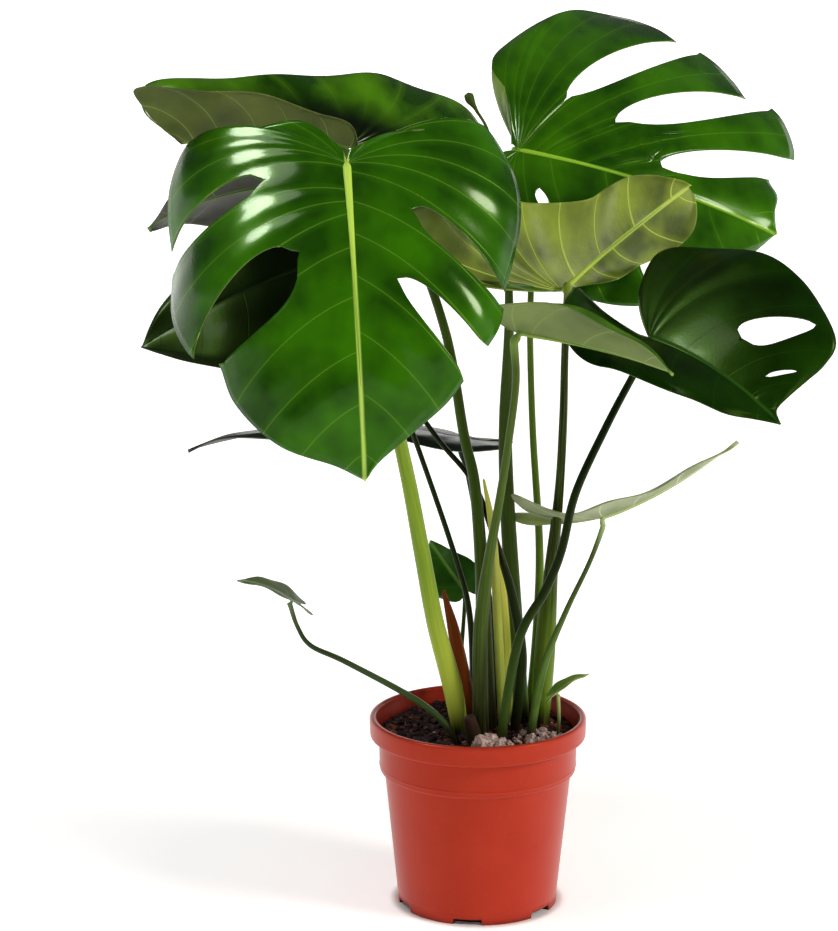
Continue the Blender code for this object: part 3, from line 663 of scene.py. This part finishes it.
def blade_half(margin, width, length):
    """The margin as a curve: its points, the distance along it, where on the midrib each
    vein starts, the splits and holes, and a count of veins that goes up by one whole
    number from a vein to the next."""
    points, roots, openings = [], [], []
    for item in margin:
        if item[0] in (SPLIT, HOLE):
            openings.append((len(points), item[0], *np.array(item[1:]) / 100))
            continue
        across, along, *root = np.array(item) / 100
        points.append((across * width, along))
        roots.append(root[0] if root else max(along - 0.6 * across, 0.0))
    roots[-1] = 1.0
    roots = np.maximum.accumulate(roots)
    span = 16
    curve = through(points, span)
    steps = np.linalg.norm(np.diff(curve, axis=0), axis=1)
    distance = np.concatenate([[0.0], np.cumsum(steps)])
    start = distance[(np.nonzero(roots > 0)[0][0] - 1) * span]
    rise = np.interp(distance, distance[::span], roots)
    slope = 1e-4 * np.maximum(distance - start, 0.0)
    root = (rise + slope) / (1 + slope[-1])
    cuts = []
    for index, kind, begin, *rest in openings:
        low, high = distance[(index - 1) * span], distance[index * span]
        end, belly = (1.0, rest[0]) if kind == SPLIT else rest
        cuts.append(((low + high) / 2, begin, end, belly, high - low if kind == SPLIT else 0.0))
    knots = [0.0, *(cut[0] for cut in cuts), distance[-1]]
    veins = np.maximum(np.round(np.diff(knots) * length / VEIN_SPACING), 1)
    count = np.interp(distance, knots, np.concatenate([[0], np.cumsum(veins)]))
    return dict(curve=curve, distance=distance, root=root, start=start, cuts=cuts, count=count)


def gap_at(cut, t):
    """Half a split's or hole's width: (mouth times x to the power 0.7, plus belly times
    the square root of 4 x (1 - x)) over 2, and rounded corners at the mouth."""
    _, begin, end, belly, mouth = cut
    x = np.clip((t - begin) / (end - begin), 0.0, 1.0)
    width = mouth * x**0.7 + belly * np.sqrt(4 * x * (1 - x))
    corner = CORNER * (1 - np.sqrt(1 - smooth((t - 0.86) / 0.14) ** 2)) if mouth else 0.0
    return 0.5 * width / np.maximum(t, 1e-6) + corner


# %% Bending a flat blade
def leaf_frame(leaf):
    """The foot, the chord's direction, the way across, the way up and the blade's length."""
    foot = CROWN + np.array(leaf["foot"]) / 1000
    tip = CROWN + np.array(leaf["tip"]) / 1000
    along = unit(tip - foot)
    across = unit(np.cross(along, leaf["face"]))
    half = leaf["droop"] / 2
    length = np.linalg.norm(tip - foot) * half / math.sin(half)
    return foot, along, across, np.cross(across, along), length


def blade_point(leaf, side, flat, height):
    """Where a point of the flat blade lies once the blade is bent, height above it.

    Across: an arc that starts at the fold angle and turns by the curl. Along: an arc that
    starts half the droop above the chord and ends half the droop below it, and behind
    the foot an arc that bends up by the back angle in each blade length.
    """
    foot, along, across, up, length = leaf_frame(leaf)
    droop = leaf["droop"]
    half = 0 if side > 0 else 1
    fold = leaf["fold"][half]
    curl = 2 * leaf["curl"][half]
    out = np.abs(flat[..., 0])
    tilt = fold - curl * out
    reach = (math.sin(fold) - np.sin(tilt)) / curl - np.sin(tilt) * height
    lift = (np.cos(tilt) - math.cos(fold)) / curl + np.cos(tilt) * height
    bend = np.where(flat[..., 1] < 0.0, -leaf.get("back", BACK)[half], droop)
    angle = droop / 2 - bend * flat[..., 1]
    forward = (math.sin(droop / 2) - np.sin(angle)) / bend
    rise = (np.cos(angle) - math.cos(droop / 2)) / bend
    x = side * reach
    y = forward - np.sin(angle) * lift
    z = rise + np.cos(angle) * lift
    return foot + length * (x[..., None] * across + y[..., None] * along + z[..., None] * up)


# %% [markdown]
# The two halves meet on the midrib, so they share the places there: the first points of
# their veins. Between them come more lines, a few millimetres apart at the margin, that
# start from the nearest shared place. The blade isn't flat between its veins: it puffs
# up there, dips at each vein, and rolls down at the margin and beside a split. A slow
# ripple runs along it too, and grows towards the margin.

# %% The grid of a blade
MARGIN_STEP = 0.0045
ROWS = 32
PUFF = 0.0007
ROLL = 0.0025
RIPPLE = 0.004


def shared_places(halves, length):
    """Places on the midrib where lines of either half start, at least 1 mm apart."""
    fixed = [0.0, 1.0]
    free = []
    for half in halves:
        fixed += [np.interp(cut[0], half["distance"], half["root"]) for cut in half["cuts"]]
        reach = np.arange(half["start"], half["distance"][-1], MARGIN_STEP / length)
        free += list(np.interp(reach, half["distance"], half["root"]))
    fixed, free = np.unique(fixed), np.array(free)
    apart = np.abs(free[:, None] - fixed).min(axis=1) > 0.0010 / length
    grid = np.round(free[apart] * length / 0.001).astype(int)
    return np.sort(np.concatenate([fixed, free[apart][np.unique(grid, return_index=True)[1]]]))


def lines_of(half, places, length):
    """Where each line of a half ends on the margin, and where it starts on the midrib."""
    ends = np.interp(places, half["root"], half["distance"])
    ends[0] = half["start"]
    more = np.arange(MARGIN_STEP / length, half["distance"][-1], MARGIN_STEP / length)
    more = np.concatenate([[0.0], more])
    gap = np.abs(more[:, None] - ends).min(axis=1)
    more = more[gap > 0.35 * MARGIN_STEP / length]
    before = np.clip(np.searchsorted(ends, more, side="right") - 1, 0, len(places) - 1)
    ends, starts = np.concatenate([ends, more]), np.concatenate([places, places[before]])
    order = np.argsort(ends, kind="stable")
    return ends[order], np.maximum.accumulate(starts[order])


def blade_grids(leaf):
    """For each lobe, its points and what its skin needs: how far out, the distance to the
    midrib, the count of veins, and the distance between veins."""
    width = leaf.get("width", 1.0)
    length = leaf_frame(leaf)[4]
    halves = [blade_half(leaf[side], width, length) for side in ("right", "left")]
    places = shared_places(halves, length)
    t = np.linspace(0.0, 1.0, ROWS + 1)[None, :]
    lobes = []
    for side, half in zip((1, -1), halves):
        ends, starts = lines_of(half, places, length)
        distance, total = half["distance"], half["distance"][-1]
        edges = [0.0, *(cut[0] for cut in half["cuts"]), total]
        gaps = [0 * t, *(gap_at(cut, t) for cut in half["cuts"]), 0 * t]
        opens = [0 * t, *(smooth((t - cut[1]) / (1.05 - cut[1])) for cut in half["cuts"]), 0 * t]
        for i in range(len(edges) - 1):
            low, high = edges[i], edges[i + 1]
            inside = (ends > low - 1e-9) & (ends < high + 1e-9)
            line, start = ends[inside], starts[inside]
            if line[0] > low + 1e-6:
                line = np.concatenate([[low], line])
                start = np.concatenate([[start[0]], start])
            share = ((line - low) / (high - low))[:, None]
            place = (1 - share) * (low + gaps[i]) + share * (high - gaps[i + 1])
            edge = [np.interp(place, distance, half["curve"][:, k]) for k in (0, 1)]
            nudge = start - np.interp(line, distance, half["root"])
            root = np.interp(place, distance, half["root"]) + nudge[:, None]
            sag = 0.4 * t * (1 - t) * np.abs(edge[0])
            flat = np.stack([t * edge[0], root + t * (edge[1] - root) - sag], axis=-1)
            count = np.interp(place, distance, half["count"])
            puff = (1 - np.cos(math.tau * (count + 0.5))) / 2 * smooth(t / 0.12)
            puff *= smooth((1.02 - t) / 0.25)
            wave = np.sin(math.tau * (1.7 * place + leaf.get("sway", 0.0))) * t**2
            part = (1 - share) ** 2 * opens[i] + share**2 * opens[i + 1]
            roll = smooth((t - 0.80) / 0.2) ** 2 + 1.4 * part
            height = (PUFF * puff + leaf.get("ripple", RIPPLE) * wave - ROLL * roll) / length
            height *= smooth(t / 0.06) * min(length / 0.25, 1.0)
            points = blade_point(leaf, side, flat, height)
            spacing = np.linalg.norm(np.gradient(points, axis=0), axis=-1)
            per_vein = 1000 * spacing / np.maximum(np.gradient(count, axis=0), 1e-4)
            reach = 1000 * length * np.abs(flat[..., 0])
            blade = np.stack([t + 0 * reach, reach], axis=-1)
            veins = np.stack([count, np.clip(per_vein, 0.0, 80.0)], axis=-1)
            lobes.append((side, points, dict(blade=blade, veins=veins)))
    return lobes


def make_blade(name, leaf):
    """The lobes' grids as one sheet, merged along the midrib and given its thickness."""
    points, faces, skins = [], [], {"blade": [], "veins": []}
    offset = 0
    for side, grid, skin in blade_grids(leaf):
        quads = grid_faces(*grid.shape[:2]) + offset
        points.append(grid.reshape(-1, 3))
        faces.append(quads if side > 0 else quads[:, ::-1])
        for layer in skins:
            skins[layer].append(skin[layer].reshape(-1, 2))
        offset += len(points[-1])
    uv = {layer: np.vstack(parts) for layer, parts in skins.items()}
    sheet = np.vstack(points), np.vstack(faces), uv
    piece = make_piece(name, *sheet, closed=False, merge=0.00004)
    shell = piece.modifiers.new("thickness", "SOLIDIFY")
    shell.thickness = 0.0010
    shell.offset = 0.0
    shell.material_offset = 1
    shell.material_offset_rim = 1
    return piece


# %% [markdown]
# ## Blade finish
#
# The upper side of a monstera leaf has a thick clear cuticle over deep green tissue: it
# is as glossy as wax, and what it reflects is tinted green by the tissue. The midrib and
# the side veins are pale yellow-green, because they hold little chlorophyll, and the
# tissue beside them is a little lighter. The skin coordinates made with the grid give
# the distance to the midrib and to the next vein in millimetres, so a vein keeps its
# real width however the blade is stretched. The underside is paler, greyer and matt, and
# its veins stand out.

# %% Leaf skins
def blade_skin(name, deep, bright, vein, vein_share, pores, relief, shade_band_mm=0.0, **shine):
    """Leaf tissue: clouds of two greens, vein lines about 1 mm wide, a paler midrib, and on
    a folded blade painted shade: a near-black band, shade_band_mm wide, along the midrib.
    The relief is how far the veins stand out of a skin with that many pores per metre, and
    the bump's strength and distance."""
    made, shader, add = new_material(name, **shine)
    place = add("TexCoord").outputs["Object"]
    out = add("SeparateXYZ", {0: add("UVMap", uv_map="blade")}).outputs["Y"]
    line = add("SeparateXYZ", {0: add("UVMap", uv_map="veins")})
    between = add("Math", {0: line.outputs["X"]}, operation="FRACT")
    middle = add("Math", {0: between, 1: 0.5}, operation="SUBTRACT")
    aside = add("Math", {0: middle}, operation="ABSOLUTE")
    away = add("Math", {0: aside, 1: line.outputs["Y"]}, operation="MULTIPLY")
    edge = {"Value": away, "From Min": 0.25, "From Max": 0.9, "To Min": 1.0, "To Max": 0.0}
    thread = add("MapRange", edge, **EASED)
    beside = {"Value": away, "From Min": 0.5, "From Max": 8.0, "To Min": 0.35, "To Max": 0.0}
    halo = add("MapRange", beside)
    rib_edge = {"Value": out, "From Min": 0.6, "From Max": 3.0, "To Min": 1.0, "To Max": 0.0}
    rib = add("MapRange", rib_edge, **EASED)
    cloud = add("TexNoise", {"Vector": place, "Scale": 16.0, "Detail": 3.0})
    patch = add("MapRange", {"Value": cloud, "From Min": 0.36, "From Max": 0.66})
    base = add("Mix", {0: patch, 6: deep, 7: bright}, **COLOURS)
    lit = add("Mix", {0: halo, 6: base, 7: bright}, **COLOURS)
    ribs = add("Math", {0: rib, 1: 0.75}, operation="MULTIPLY")
    threads = add("Math", {0: thread, 1: vein_share}, operation="MULTIPLY")
    pale = add("Math", {0: ribs, 1: threads}, operation="MAXIMUM")
    colour = add("Mix", {0: pale, 6: lit, 7: vein}, **COLOURS)
    # Painted shade: a near-black band along the midrib of a folded blade, for the shadow between its
    # halves.
    if shade_band_mm:
        near_rib = {"Value": out, "From Min": 0.4 * shade_band_mm, "From Max": shade_band_mm}
        band = add("MapRange", near_rib, **EASED)
        colour = add("Mix", {0: band, 6: "#040A04", 7: colour}, **COLOURS)
    proud, strength, distance = relief
    skin = add("TexNoise", {"Vector": place, "Scale": pores, "Detail": 2.0})
    level = add("Math", {0: thread, 1: proud, 2: skin}, operation="MULTIPLY_ADD")
    bump = add("Bump", {"Strength": strength, "Distance": distance, "Height": level})
    set_inputs(shader, {"Base Color": colour, "Normal": bump})
    return made, shader, add, cloud


def waxy_upper(name, deep, bright, vein, gloss, shade_band_mm):
    """The cuticle side: a low roughness that drifts a little, and veins pressed in."""
    coat = 0.35 if gloss < 0.3 else 0.08
    shine = dict(IOR=1.36, Specular_Tint="#86C81E", Coat_Weight=coat, Coat_Roughness=0.12)
    relief = (-1.4, 0.2, 0.0005)
    made, shader, add, cloud = blade_skin(
        name, deep, bright, vein, 0.09, 420.0, relief, shade_band_mm, **shine
    )
    dull = {"Value": cloud, "To Min": gloss - 0.06, "To Max": gloss + 0.1}
    set_inputs(shader, {"Roughness": add("MapRange", dull)})
    return made


def matt_under(name, deep, bright, vein):
    """The pale side: matt, with raised veins."""
    relief = (1.6, 0.5, 0.0007)
    return blade_skin(name, deep, bright, vein, 0.6, 300.0, relief, Roughness=0.5, IOR=1.42)[0]


# %% [markdown]
# Leaves differ with their age: a young blade is pale and thin. The dark leaf lies in the
# shadow of the front one, and its near-black greens are painted shade. Each has its own
# deep and bright green for the upper side and for the underside, the tint of its veins,
# and how rough its cuticle is. The folded leaf also has painted shade: a near-black band
# along its midrib, where hardly any light gets in.

# %% Make the blades
SKINS = {
    "front": ("#163E00", "#306A00", "#4A5F22", "#6F8638", "#C8E868", 0.2),
    "upper_right": ("#153C00", "#326800", "#4C6626", "#74903C", "#8CB83A", 0.22),
    "back_left": ("#163A00", "#487C08", "#424E1C", "#5E6C28", "#7C9A44", 0.26),
    "centre": ("#1C4008", "#5C8A1E", "#3E4E0A", "#869A26", "#BCD25A", 0.34),
    "right": ("#041600", "#102E02", "#3A4A22", "#5C6E34", "#2C5418", 0.32),
    "middle": ("#1E4410", "#467018", "#586A34", "#768848", "#8DA850", 0.34),
    # The dark leaf's colours are painted shade: it lies in the shadow of the front leaf.
    "dark": ("#010202", "#030504", "#0A100C", "#121A14", "#080C0A", 0.42),
    "curled": ("#1A3A10", "#3A6418", "#34382E", "#54564C", "#6E8A40", 0.34),
    "low": ("#0C1010", "#1C2424", "#4C5248", "#74786A", "#2C3A30", 0.36),
    "young": ("#7E9050", "#A6B47C", "#6E7C58", "#A8B48C", "#D4DEB0", 0.4),
    "side": ("#3E4E30", "#5E6E4C", "#62705A", "#8A9478", "#8E9C78", 0.42),
    "seedling": ("#5E8A2C", "#92B050", "#7E9450", "#B0C088", "#C4D28A", 0.4),
    "inner": ("#12300A", "#2C5A14", "#34482A", "#54683C", "#5E8A34", 0.3),
}
# The width of the painted shade along the folded leaf's midrib, in millimetres.
FOLD_SHADE_BANDS = {"back_left": 64.0}
for name, leaf in LEAVES.items():
    deep, bright, under_deep, under_bright, vein, gloss = SKINS[name]
    shade_band_mm = FOLD_SHADE_BANDS.get(name, 0.0)
    blade = make_blade(f"{name}_blade", leaf)
    blade.data.materials.append(waxy_upper(f"waxy_upper_{name}", deep, bright, vein, gloss, shade_band_mm))
    blade.data.materials.append(matt_under(f"matt_under_{name}", under_deep, under_bright, vein))
    keep(blade, "leaf_blade", f"{name}_leaf")
    print(f"{name} blade: {len(blade.data.polygons)} faces")

# %% [markdown]
# ## Stalks
#
# A leaf stalk, or petiole, leaves the crown as a broad clasping sheath, thins as it
# rises, swells at the joint under the blade, and then runs on as the midrib, which
# stands proud of the blade on both sides. One tube does all of it: a ring carried along
# a path. The ring isn't round: a stalk is grooved on its upper side. A route's points are
# (x, y, height, radius) from the crown, in millimetres.

# %% Routes
STALKS = {
    "front": [
        (-18, -12, 0, 8), (-25, -20, 50, 9.5), (-41, -35, 115, 8.5), (-53, -50, 183, 7.8),
        (-65, -65, 254, 7), (-76, -76, 310, 6.4), (-92, -83, 391, 5.8), (-107, -80, 474, 5.2),
    ],
    "back_left": [
        (8, 0, 0, 11), (6, 4, 89, 8.5), (3, 10, 167, 6.8), (-4, 16, 244, 5.6), (-14, 22, 289, 5.2),
        (-32, 28, 388, 4.7), (-66, 28, 475, 4.3),
    ],
    "curled": [
        (-3, 34, 0, 4), (-7, 37, 100, 3.2), (-21, 40, 160, 2.8), (-58, 46, 270, 2.6),
        (-100, 70, 381, 2.4), (-138, 92, 470, 2.4),
    ],
    "dark": [
        (36, -6, 0, 5), (42, -8, 75, 5), (32, -6, 137, 4.5), (19, 0, 180, 3.6), (-4, 40, 235, 2.8),
        (-39, 50, 278, 2.6), (-94, 55, 354, 2.4), (-142, 50, 415, 2.4),
    ],
    "middle": [
        (2, -34, 0, 8.5), (1, -36, 100, 7.5), (5, -38, 150, 6.5), (11, -40, 194, 5),
        (18, -50, 239, 4.2), (26, -66, 300, 3.8), (32, -84, 360, 3.6),
    ],
    "upper_right": [
        (53, 46, 0, 6), (59, 50, 90, 5.2), (60, 52, 172, 4), (53, 57, 282, 3.4),
        (50, 68, 372, 3.2), (50, 92, 456, 3.2),
    ],
    "centre": [
        (62, 12, 0, 8), (65, 10, 80, 10), (70, 8, 158, 6.8), (77, 8, 237, 4.5), (80, 7, 305, 4),
        (81, 6, 373, 3.6),
    ],
    "right": [
        (20, -56, 0, 4.5), (37, -56, 105, 4.5), (62, -53, 154, 4.4), (77, -50, 192, 4.2),
        (90, -46, 247, 4), (117, -32, 304, 3.8), (143, -14, 350, 3.6),
    ],
    "low": [(20, 62, 0, 3.5), (14, 74, 100, 2.8), (0, 110, 180, 2.4), (-10, 132, 228, 2.2)],
    "young": [(50, -30, 0, 4.5), (62, -30, 72, 3.8), (83, -18, 123, 2.8), (106, 0, 167, 2.4)],
    "side": [
        (-22, -44, 0, 3.5), (-40, -38, 26, 3.4), (-69, -30, 45, 3.2), (-128, -18, 74, 2.8),
        (-161, -8, 87, 2.5), (-174, 0, 104, 2.2),
    ],
    "seedling": [(76, -34, 0, 1.8), (77, -34, 20, 1.7)],
    "inner": [(-22, 60, 0, 2.4), (-16, 72, 50, 2.2), (-12, 86, 100, 2)],
}

SHOOTS = {
    "dried_sheath": [(-10, 4, 0, 11), (-15, 4, 50, 8), (-24, 2, 100, 5.6), (-34, -4, 142, 1.5)],
    "pale_sheath": [(28, 18, 0, 7.2), (26, 18, 80, 6.2), (22, 20, 140, 4.8), (16, 22, 196, 1.4)],
    "bud_sheath": [(24, -22, 0, 4.6), (19, -22, 100, 4.4), (13, -22, 200, 3.8), (4, -20, 255, 1.2)],
    "aerial_root": [(-4, -52, 0, 7.5), (-6, -52, 16, 6.8), (-10, -53, 32, 5)],
    "new_leaf": [
        (43, 30, 0, 8), (36, 32, 100, 8), (28, 36, 220, 7.2), (26, 40, 300, 6.2),
        (29, 42, 400, 4.4), (24, 40, 500, 2.4), (10, 40, 570, 1.5), (-3, 40, 596, 1.7),
        (-9, 40, 606, 4.4), (-11, 40, 613, 4.2),
    ],
}


# %% A ring carried along a path
BURIED = 0.010
RAISED = 0.004


def carried_ring(path, radius, across, sides=20, groove=0.0, flat=1.0, ribs=0.0):
    """Rings of points square to the path. Each ring's first axis is the across direction
    less its part along the path, and the second is square to both. The ring's radius is
    radius (1 - groove exp(-(a / 0.5) squared) + ribs cos(7 a)) at the angle a."""
    step = np.gradient(path, axis=0)
    ahead = step / np.linalg.norm(step, axis=1)[:, None]
    first = across - (ahead @ across)[:, None] * ahead
    first /= np.linalg.norm(first, axis=1)[:, None]
    second = np.cross(first, ahead)
    angle = np.linspace(0, math.tau, sides + 1)
    top = (angle - math.pi / 2 + math.pi) % math.tau - math.pi
    shape = 1 - groove * np.exp(-((top / 0.5) ** 2)) + ribs * np.cos(7 * angle)
    ring = radius[:, None] * shape[None, :]
    x = (ring * np.cos(angle))[..., None] * first[:, None, :]
    y = (flat * ring * np.sin(angle))[..., None] * second[:, None, :]
    return path[:, None, :] + x + y


def even_path(points, step):
    """A smooth route through (x, y, z, radius), set out again at even steps."""
    dense = through(points, 24)
    reach = np.concatenate([[0], np.cumsum(np.linalg.norm(np.diff(dense[:, :3], axis=0), axis=1))])
    place = np.linspace(0, reach[-1], max(8, int(reach[-1] / step)))
    return np.stack([np.interp(place, reach, dense[:, k]) for k in range(4)], axis=-1), place


def rounded_ends(radius, place, blunt):
    """The radius times the square root of 1 - (1 - s) squared, s being the share of the
    blunt length from either end, so that both ends close in a dome."""
    share = np.clip(np.minimum(place, place[-1] - place) / blunt, 0, 1)
    return radius * np.sqrt(np.maximum(1 - (1 - share) ** 2, 0))


# %% Make the stalks
def make_tube(name, route, rest, step, blunt, across, **ring):
    """A tube along the route from the crown and then through the rest of its path, with its
    skin's coordinates: (piece, the distance to each ring). It starts in the soil, and the
    route's first point is raised to keep the two apart."""
    x, y, height, radius = np.array(route).T / 1000
    rising = np.column_stack([CROWN + np.stack([x, y, height], axis=-1), radius])
    start = rising[0] - (0.0, 0.0, BURIED, 0.0)
    rising[0, 2] += RAISED
    path, place = even_path(np.vstack([start, rising, *rest]), step)
    points = carried_ring(path[:, :3], rounded_ends(path[:, 3], place, blunt), across, **ring)
    angle = np.linspace(0, 1, points.shape[1])
    uv = {"stalk": np.stack(np.broadcast_arrays(angle[None, :], place[:, None]), axis=-1)}
    return make_piece(name, points, uv=uv), place


def midrib_route(leaf, radius):
    """The blade's middle line from just past the foot to just before the tip, sunk by a
    part of the rib's radius, which tapers as the power 1.6 of what is left."""
    length = leaf_frame(leaf)[4]
    along = np.linspace(0.02, 0.985, 14)
    thick = radius * (1 - along) ** 1.6 + 0.0002
    flat = np.stack([0 * along, along], axis=-1)
    places = blade_point(leaf, 1, flat, -0.25 * thick / length)
    return np.column_stack([places, thick])


def make_stalk(name, route, leaf):
    """Sheath, stalk, joint and midrib as one tube from below the soil to the blade's tip."""
    foot, along, across, up, length = leaf_frame(leaf)
    tilt = leaf["droop"] / 2
    below = math.sin(tilt) * along - math.cos(tilt) * up
    neck = route[-1][3] / 1000
    joint = [
        [*(foot + (0.8 * neck + 0.05 * length) * below - 0.01 * length * along), 1.15 * neck],
        [*(foot + (0.8 * neck + 0.003) * below), 1.2 * neck],
    ]
    rib = midrib_route(leaf, min(0.85 * neck, 0.014 * length + 0.0002))
    rest = [joint, rib]
    piece, place = make_tube(f"{name}_petiole", route, rest, 0.003, 0.002, across, groove=0.10)
    print(f"{name} stalk and midrib: {100 * place[-1]:.0f} cm")
    return keep(piece, "leaf_stalk", f"{name}_stalk"), place[-1]


# %% [markdown]
# Stalk skin is smooth and satin, with pale lengthwise streaks. The colours change along
# it: earth-brown at the soil, the sheath's, the stem's, and then the midrib's, which
# fades into the blade's towards its tip. The second number of the skin's coordinates is
# the distance from the start in metres, so each change is at a real length.

# %% Stalk skins
def stalk_skin(name, base, stem, rib, length, rough=0.38, blade=None):
    """From the sheath's colour through the stem's to the midrib's, which starts length
    along the tube. A blade, as (tint, length), gives the colour that the midrib ends in."""
    made, shader, add = new_material(name, Roughness=rough, IOR=1.36, Specular_Tint="#A8C86A")
    coat = add("UVMap", uv_map="stalk")
    along = add("SeparateXYZ", {0: coat}).outputs["Y"]
    stages = [(0.014, 0.042, base), (0.02, 0.20, stem), (length - 0.035, length + 0.012, rib)]
    colour = "#1C0E08"
    for start, end, tint in stages:
        reach = {"Value": along, "From Min": start, "From Max": end}
        colour = {0: add("MapRange", reach, **EASED), 6: colour, 7: tint}
        colour = add("Mix", colour, **COLOURS)
    if blade:
        tint, blade_length = blade
        start, end = length + 0.25 * blade_length, length + 0.8 * blade_length
        tail = add("MapRange", {"Value": along, "From Min": start, "From Max": end})
        colour = add("Mix", {0: tail, 6: colour, 7: tint}, **COLOURS)
    stretch = add("VectorMath", {0: coat, 1: (26.0, 14.0, 1.0)}, operation="MULTIPLY")
    streak = add("TexNoise", {"Vector": stretch, "Scale": 1.0, "Detail": 3.0})
    faint = {"Value": streak, "From Min": 0.4, "From Max": 0.75, "To Max": 0.18}
    pale = add("MapRange", faint)
    colour = add("Mix", {0: pale, 6: colour, 7: rib}, **COLOURS)
    bump = add("Bump", {"Strength": 0.25, "Distance": 0.0004, "Height": streak})
    set_inputs(shader, {"Base Color": colour, "Normal": bump})
    return made


# A near-black stem colour is painted shade: those stalks stand in shadow against the light.
STALK_TINTS = {
    "front": ("#B4C044", "#6E8626", "#B8DA54"),
    "upper_right": ("#4E6A18", "#4E6420", "#8FC034"),
    "back_left": ("#1C140A", "#2E4010", "#5C7A34"),
    "centre": ("#5E7A20", "#10160A", "#A4BE4A"),
    "right": ("#2E4414", "#0A0E06", "#2C5418"),
    "middle": ("#160E08", "#3A4E1A", "#8CA652"),
    "dark": ("#1C2A0E", "#080C06", "#14241A"),
    "curled": ("#12190C", "#0A0E08", "#5E7A3A"),
    "low": ("#2E4018", "#10180C", "#3A4A3A"),
    "young": ("#4E6E26", "#2E4018", "#A4B67C"),
    "side": ("#2E4420", "#28361E", "#7A8A64"),
    "seedling": ("#6E7A40", "#76703C", "#A4B46C"),
    "inner": ("#1C340C", "#1C340C", "#3E6426"),
}
for name, route in STALKS.items():
    stalk, whole = make_stalk(name, route, LEAVES[name])
    length = leaf_frame(LEAVES[name])[4]
    blade = (SKINS[name][1], length)
    skin = stalk_skin(f"petiole_skin_{name}", *STALK_TINTS[name], whole - length, blade=blade)
    stalk.data.materials.append(skin)

# %% [markdown]
# ## Sheaths, new leaf and root
#
# Old sheaths stand among the stalks: papery tubes that end in a point, one rusty and dry,
# one straw-yellow, one still green. The new leaf is rolled up tight on its own stalk. The
# root is a stub with a corky skin. They are tubes too, flattened and ribbed. They have no
# midrib, so its start is put further along than any of them is long, in metres.

# %% Make the shoots
SHOOT_ACROSS = np.array((1.0, 0.2, 0.0))
NO_MIDRIB = 9.0
SHOOT_LOOKS = {
    "dried_sheath": ("dry_sheath", "#7A3010", "#5A2208", "#A05A2A", 0.7, 0.05),
    "pale_sheath": ("pale_sheath", "#A8B43C", "#C6C452", "#E6E29A", 0.8, 0.05),
    "bud_sheath": ("pale_sheath", "#7A8A30", "#A4A848", "#C8C870", 0.9, 0.03),
    "aerial_root": ("root_skin", "#2A1216", "#3A1C1E", "#5C3430", 1.0, 0.06),
    "new_leaf": ("leaf_stalk", "#5A7E22", "#34461A", "#5C7228", 1.0, 0.02),
}
for name, route in SHOOTS.items():
    slot, base, stem, pale, flat, ribs = SHOOT_LOOKS[name]
    ring = dict(sides=28, flat=flat, ribs=ribs)
    piece, place = make_tube(f"{name}_shoot", route, [], 0.002, 0.003, SHOOT_ACROSS, **ring)
    piece.data.materials.append(stalk_skin(f"{name}_skin", base, stem, pale, NO_MIDRIB, 0.6))
    keep(piece, slot, name)
    print(f"{name}: {100 * place[-1]:.0f} cm")
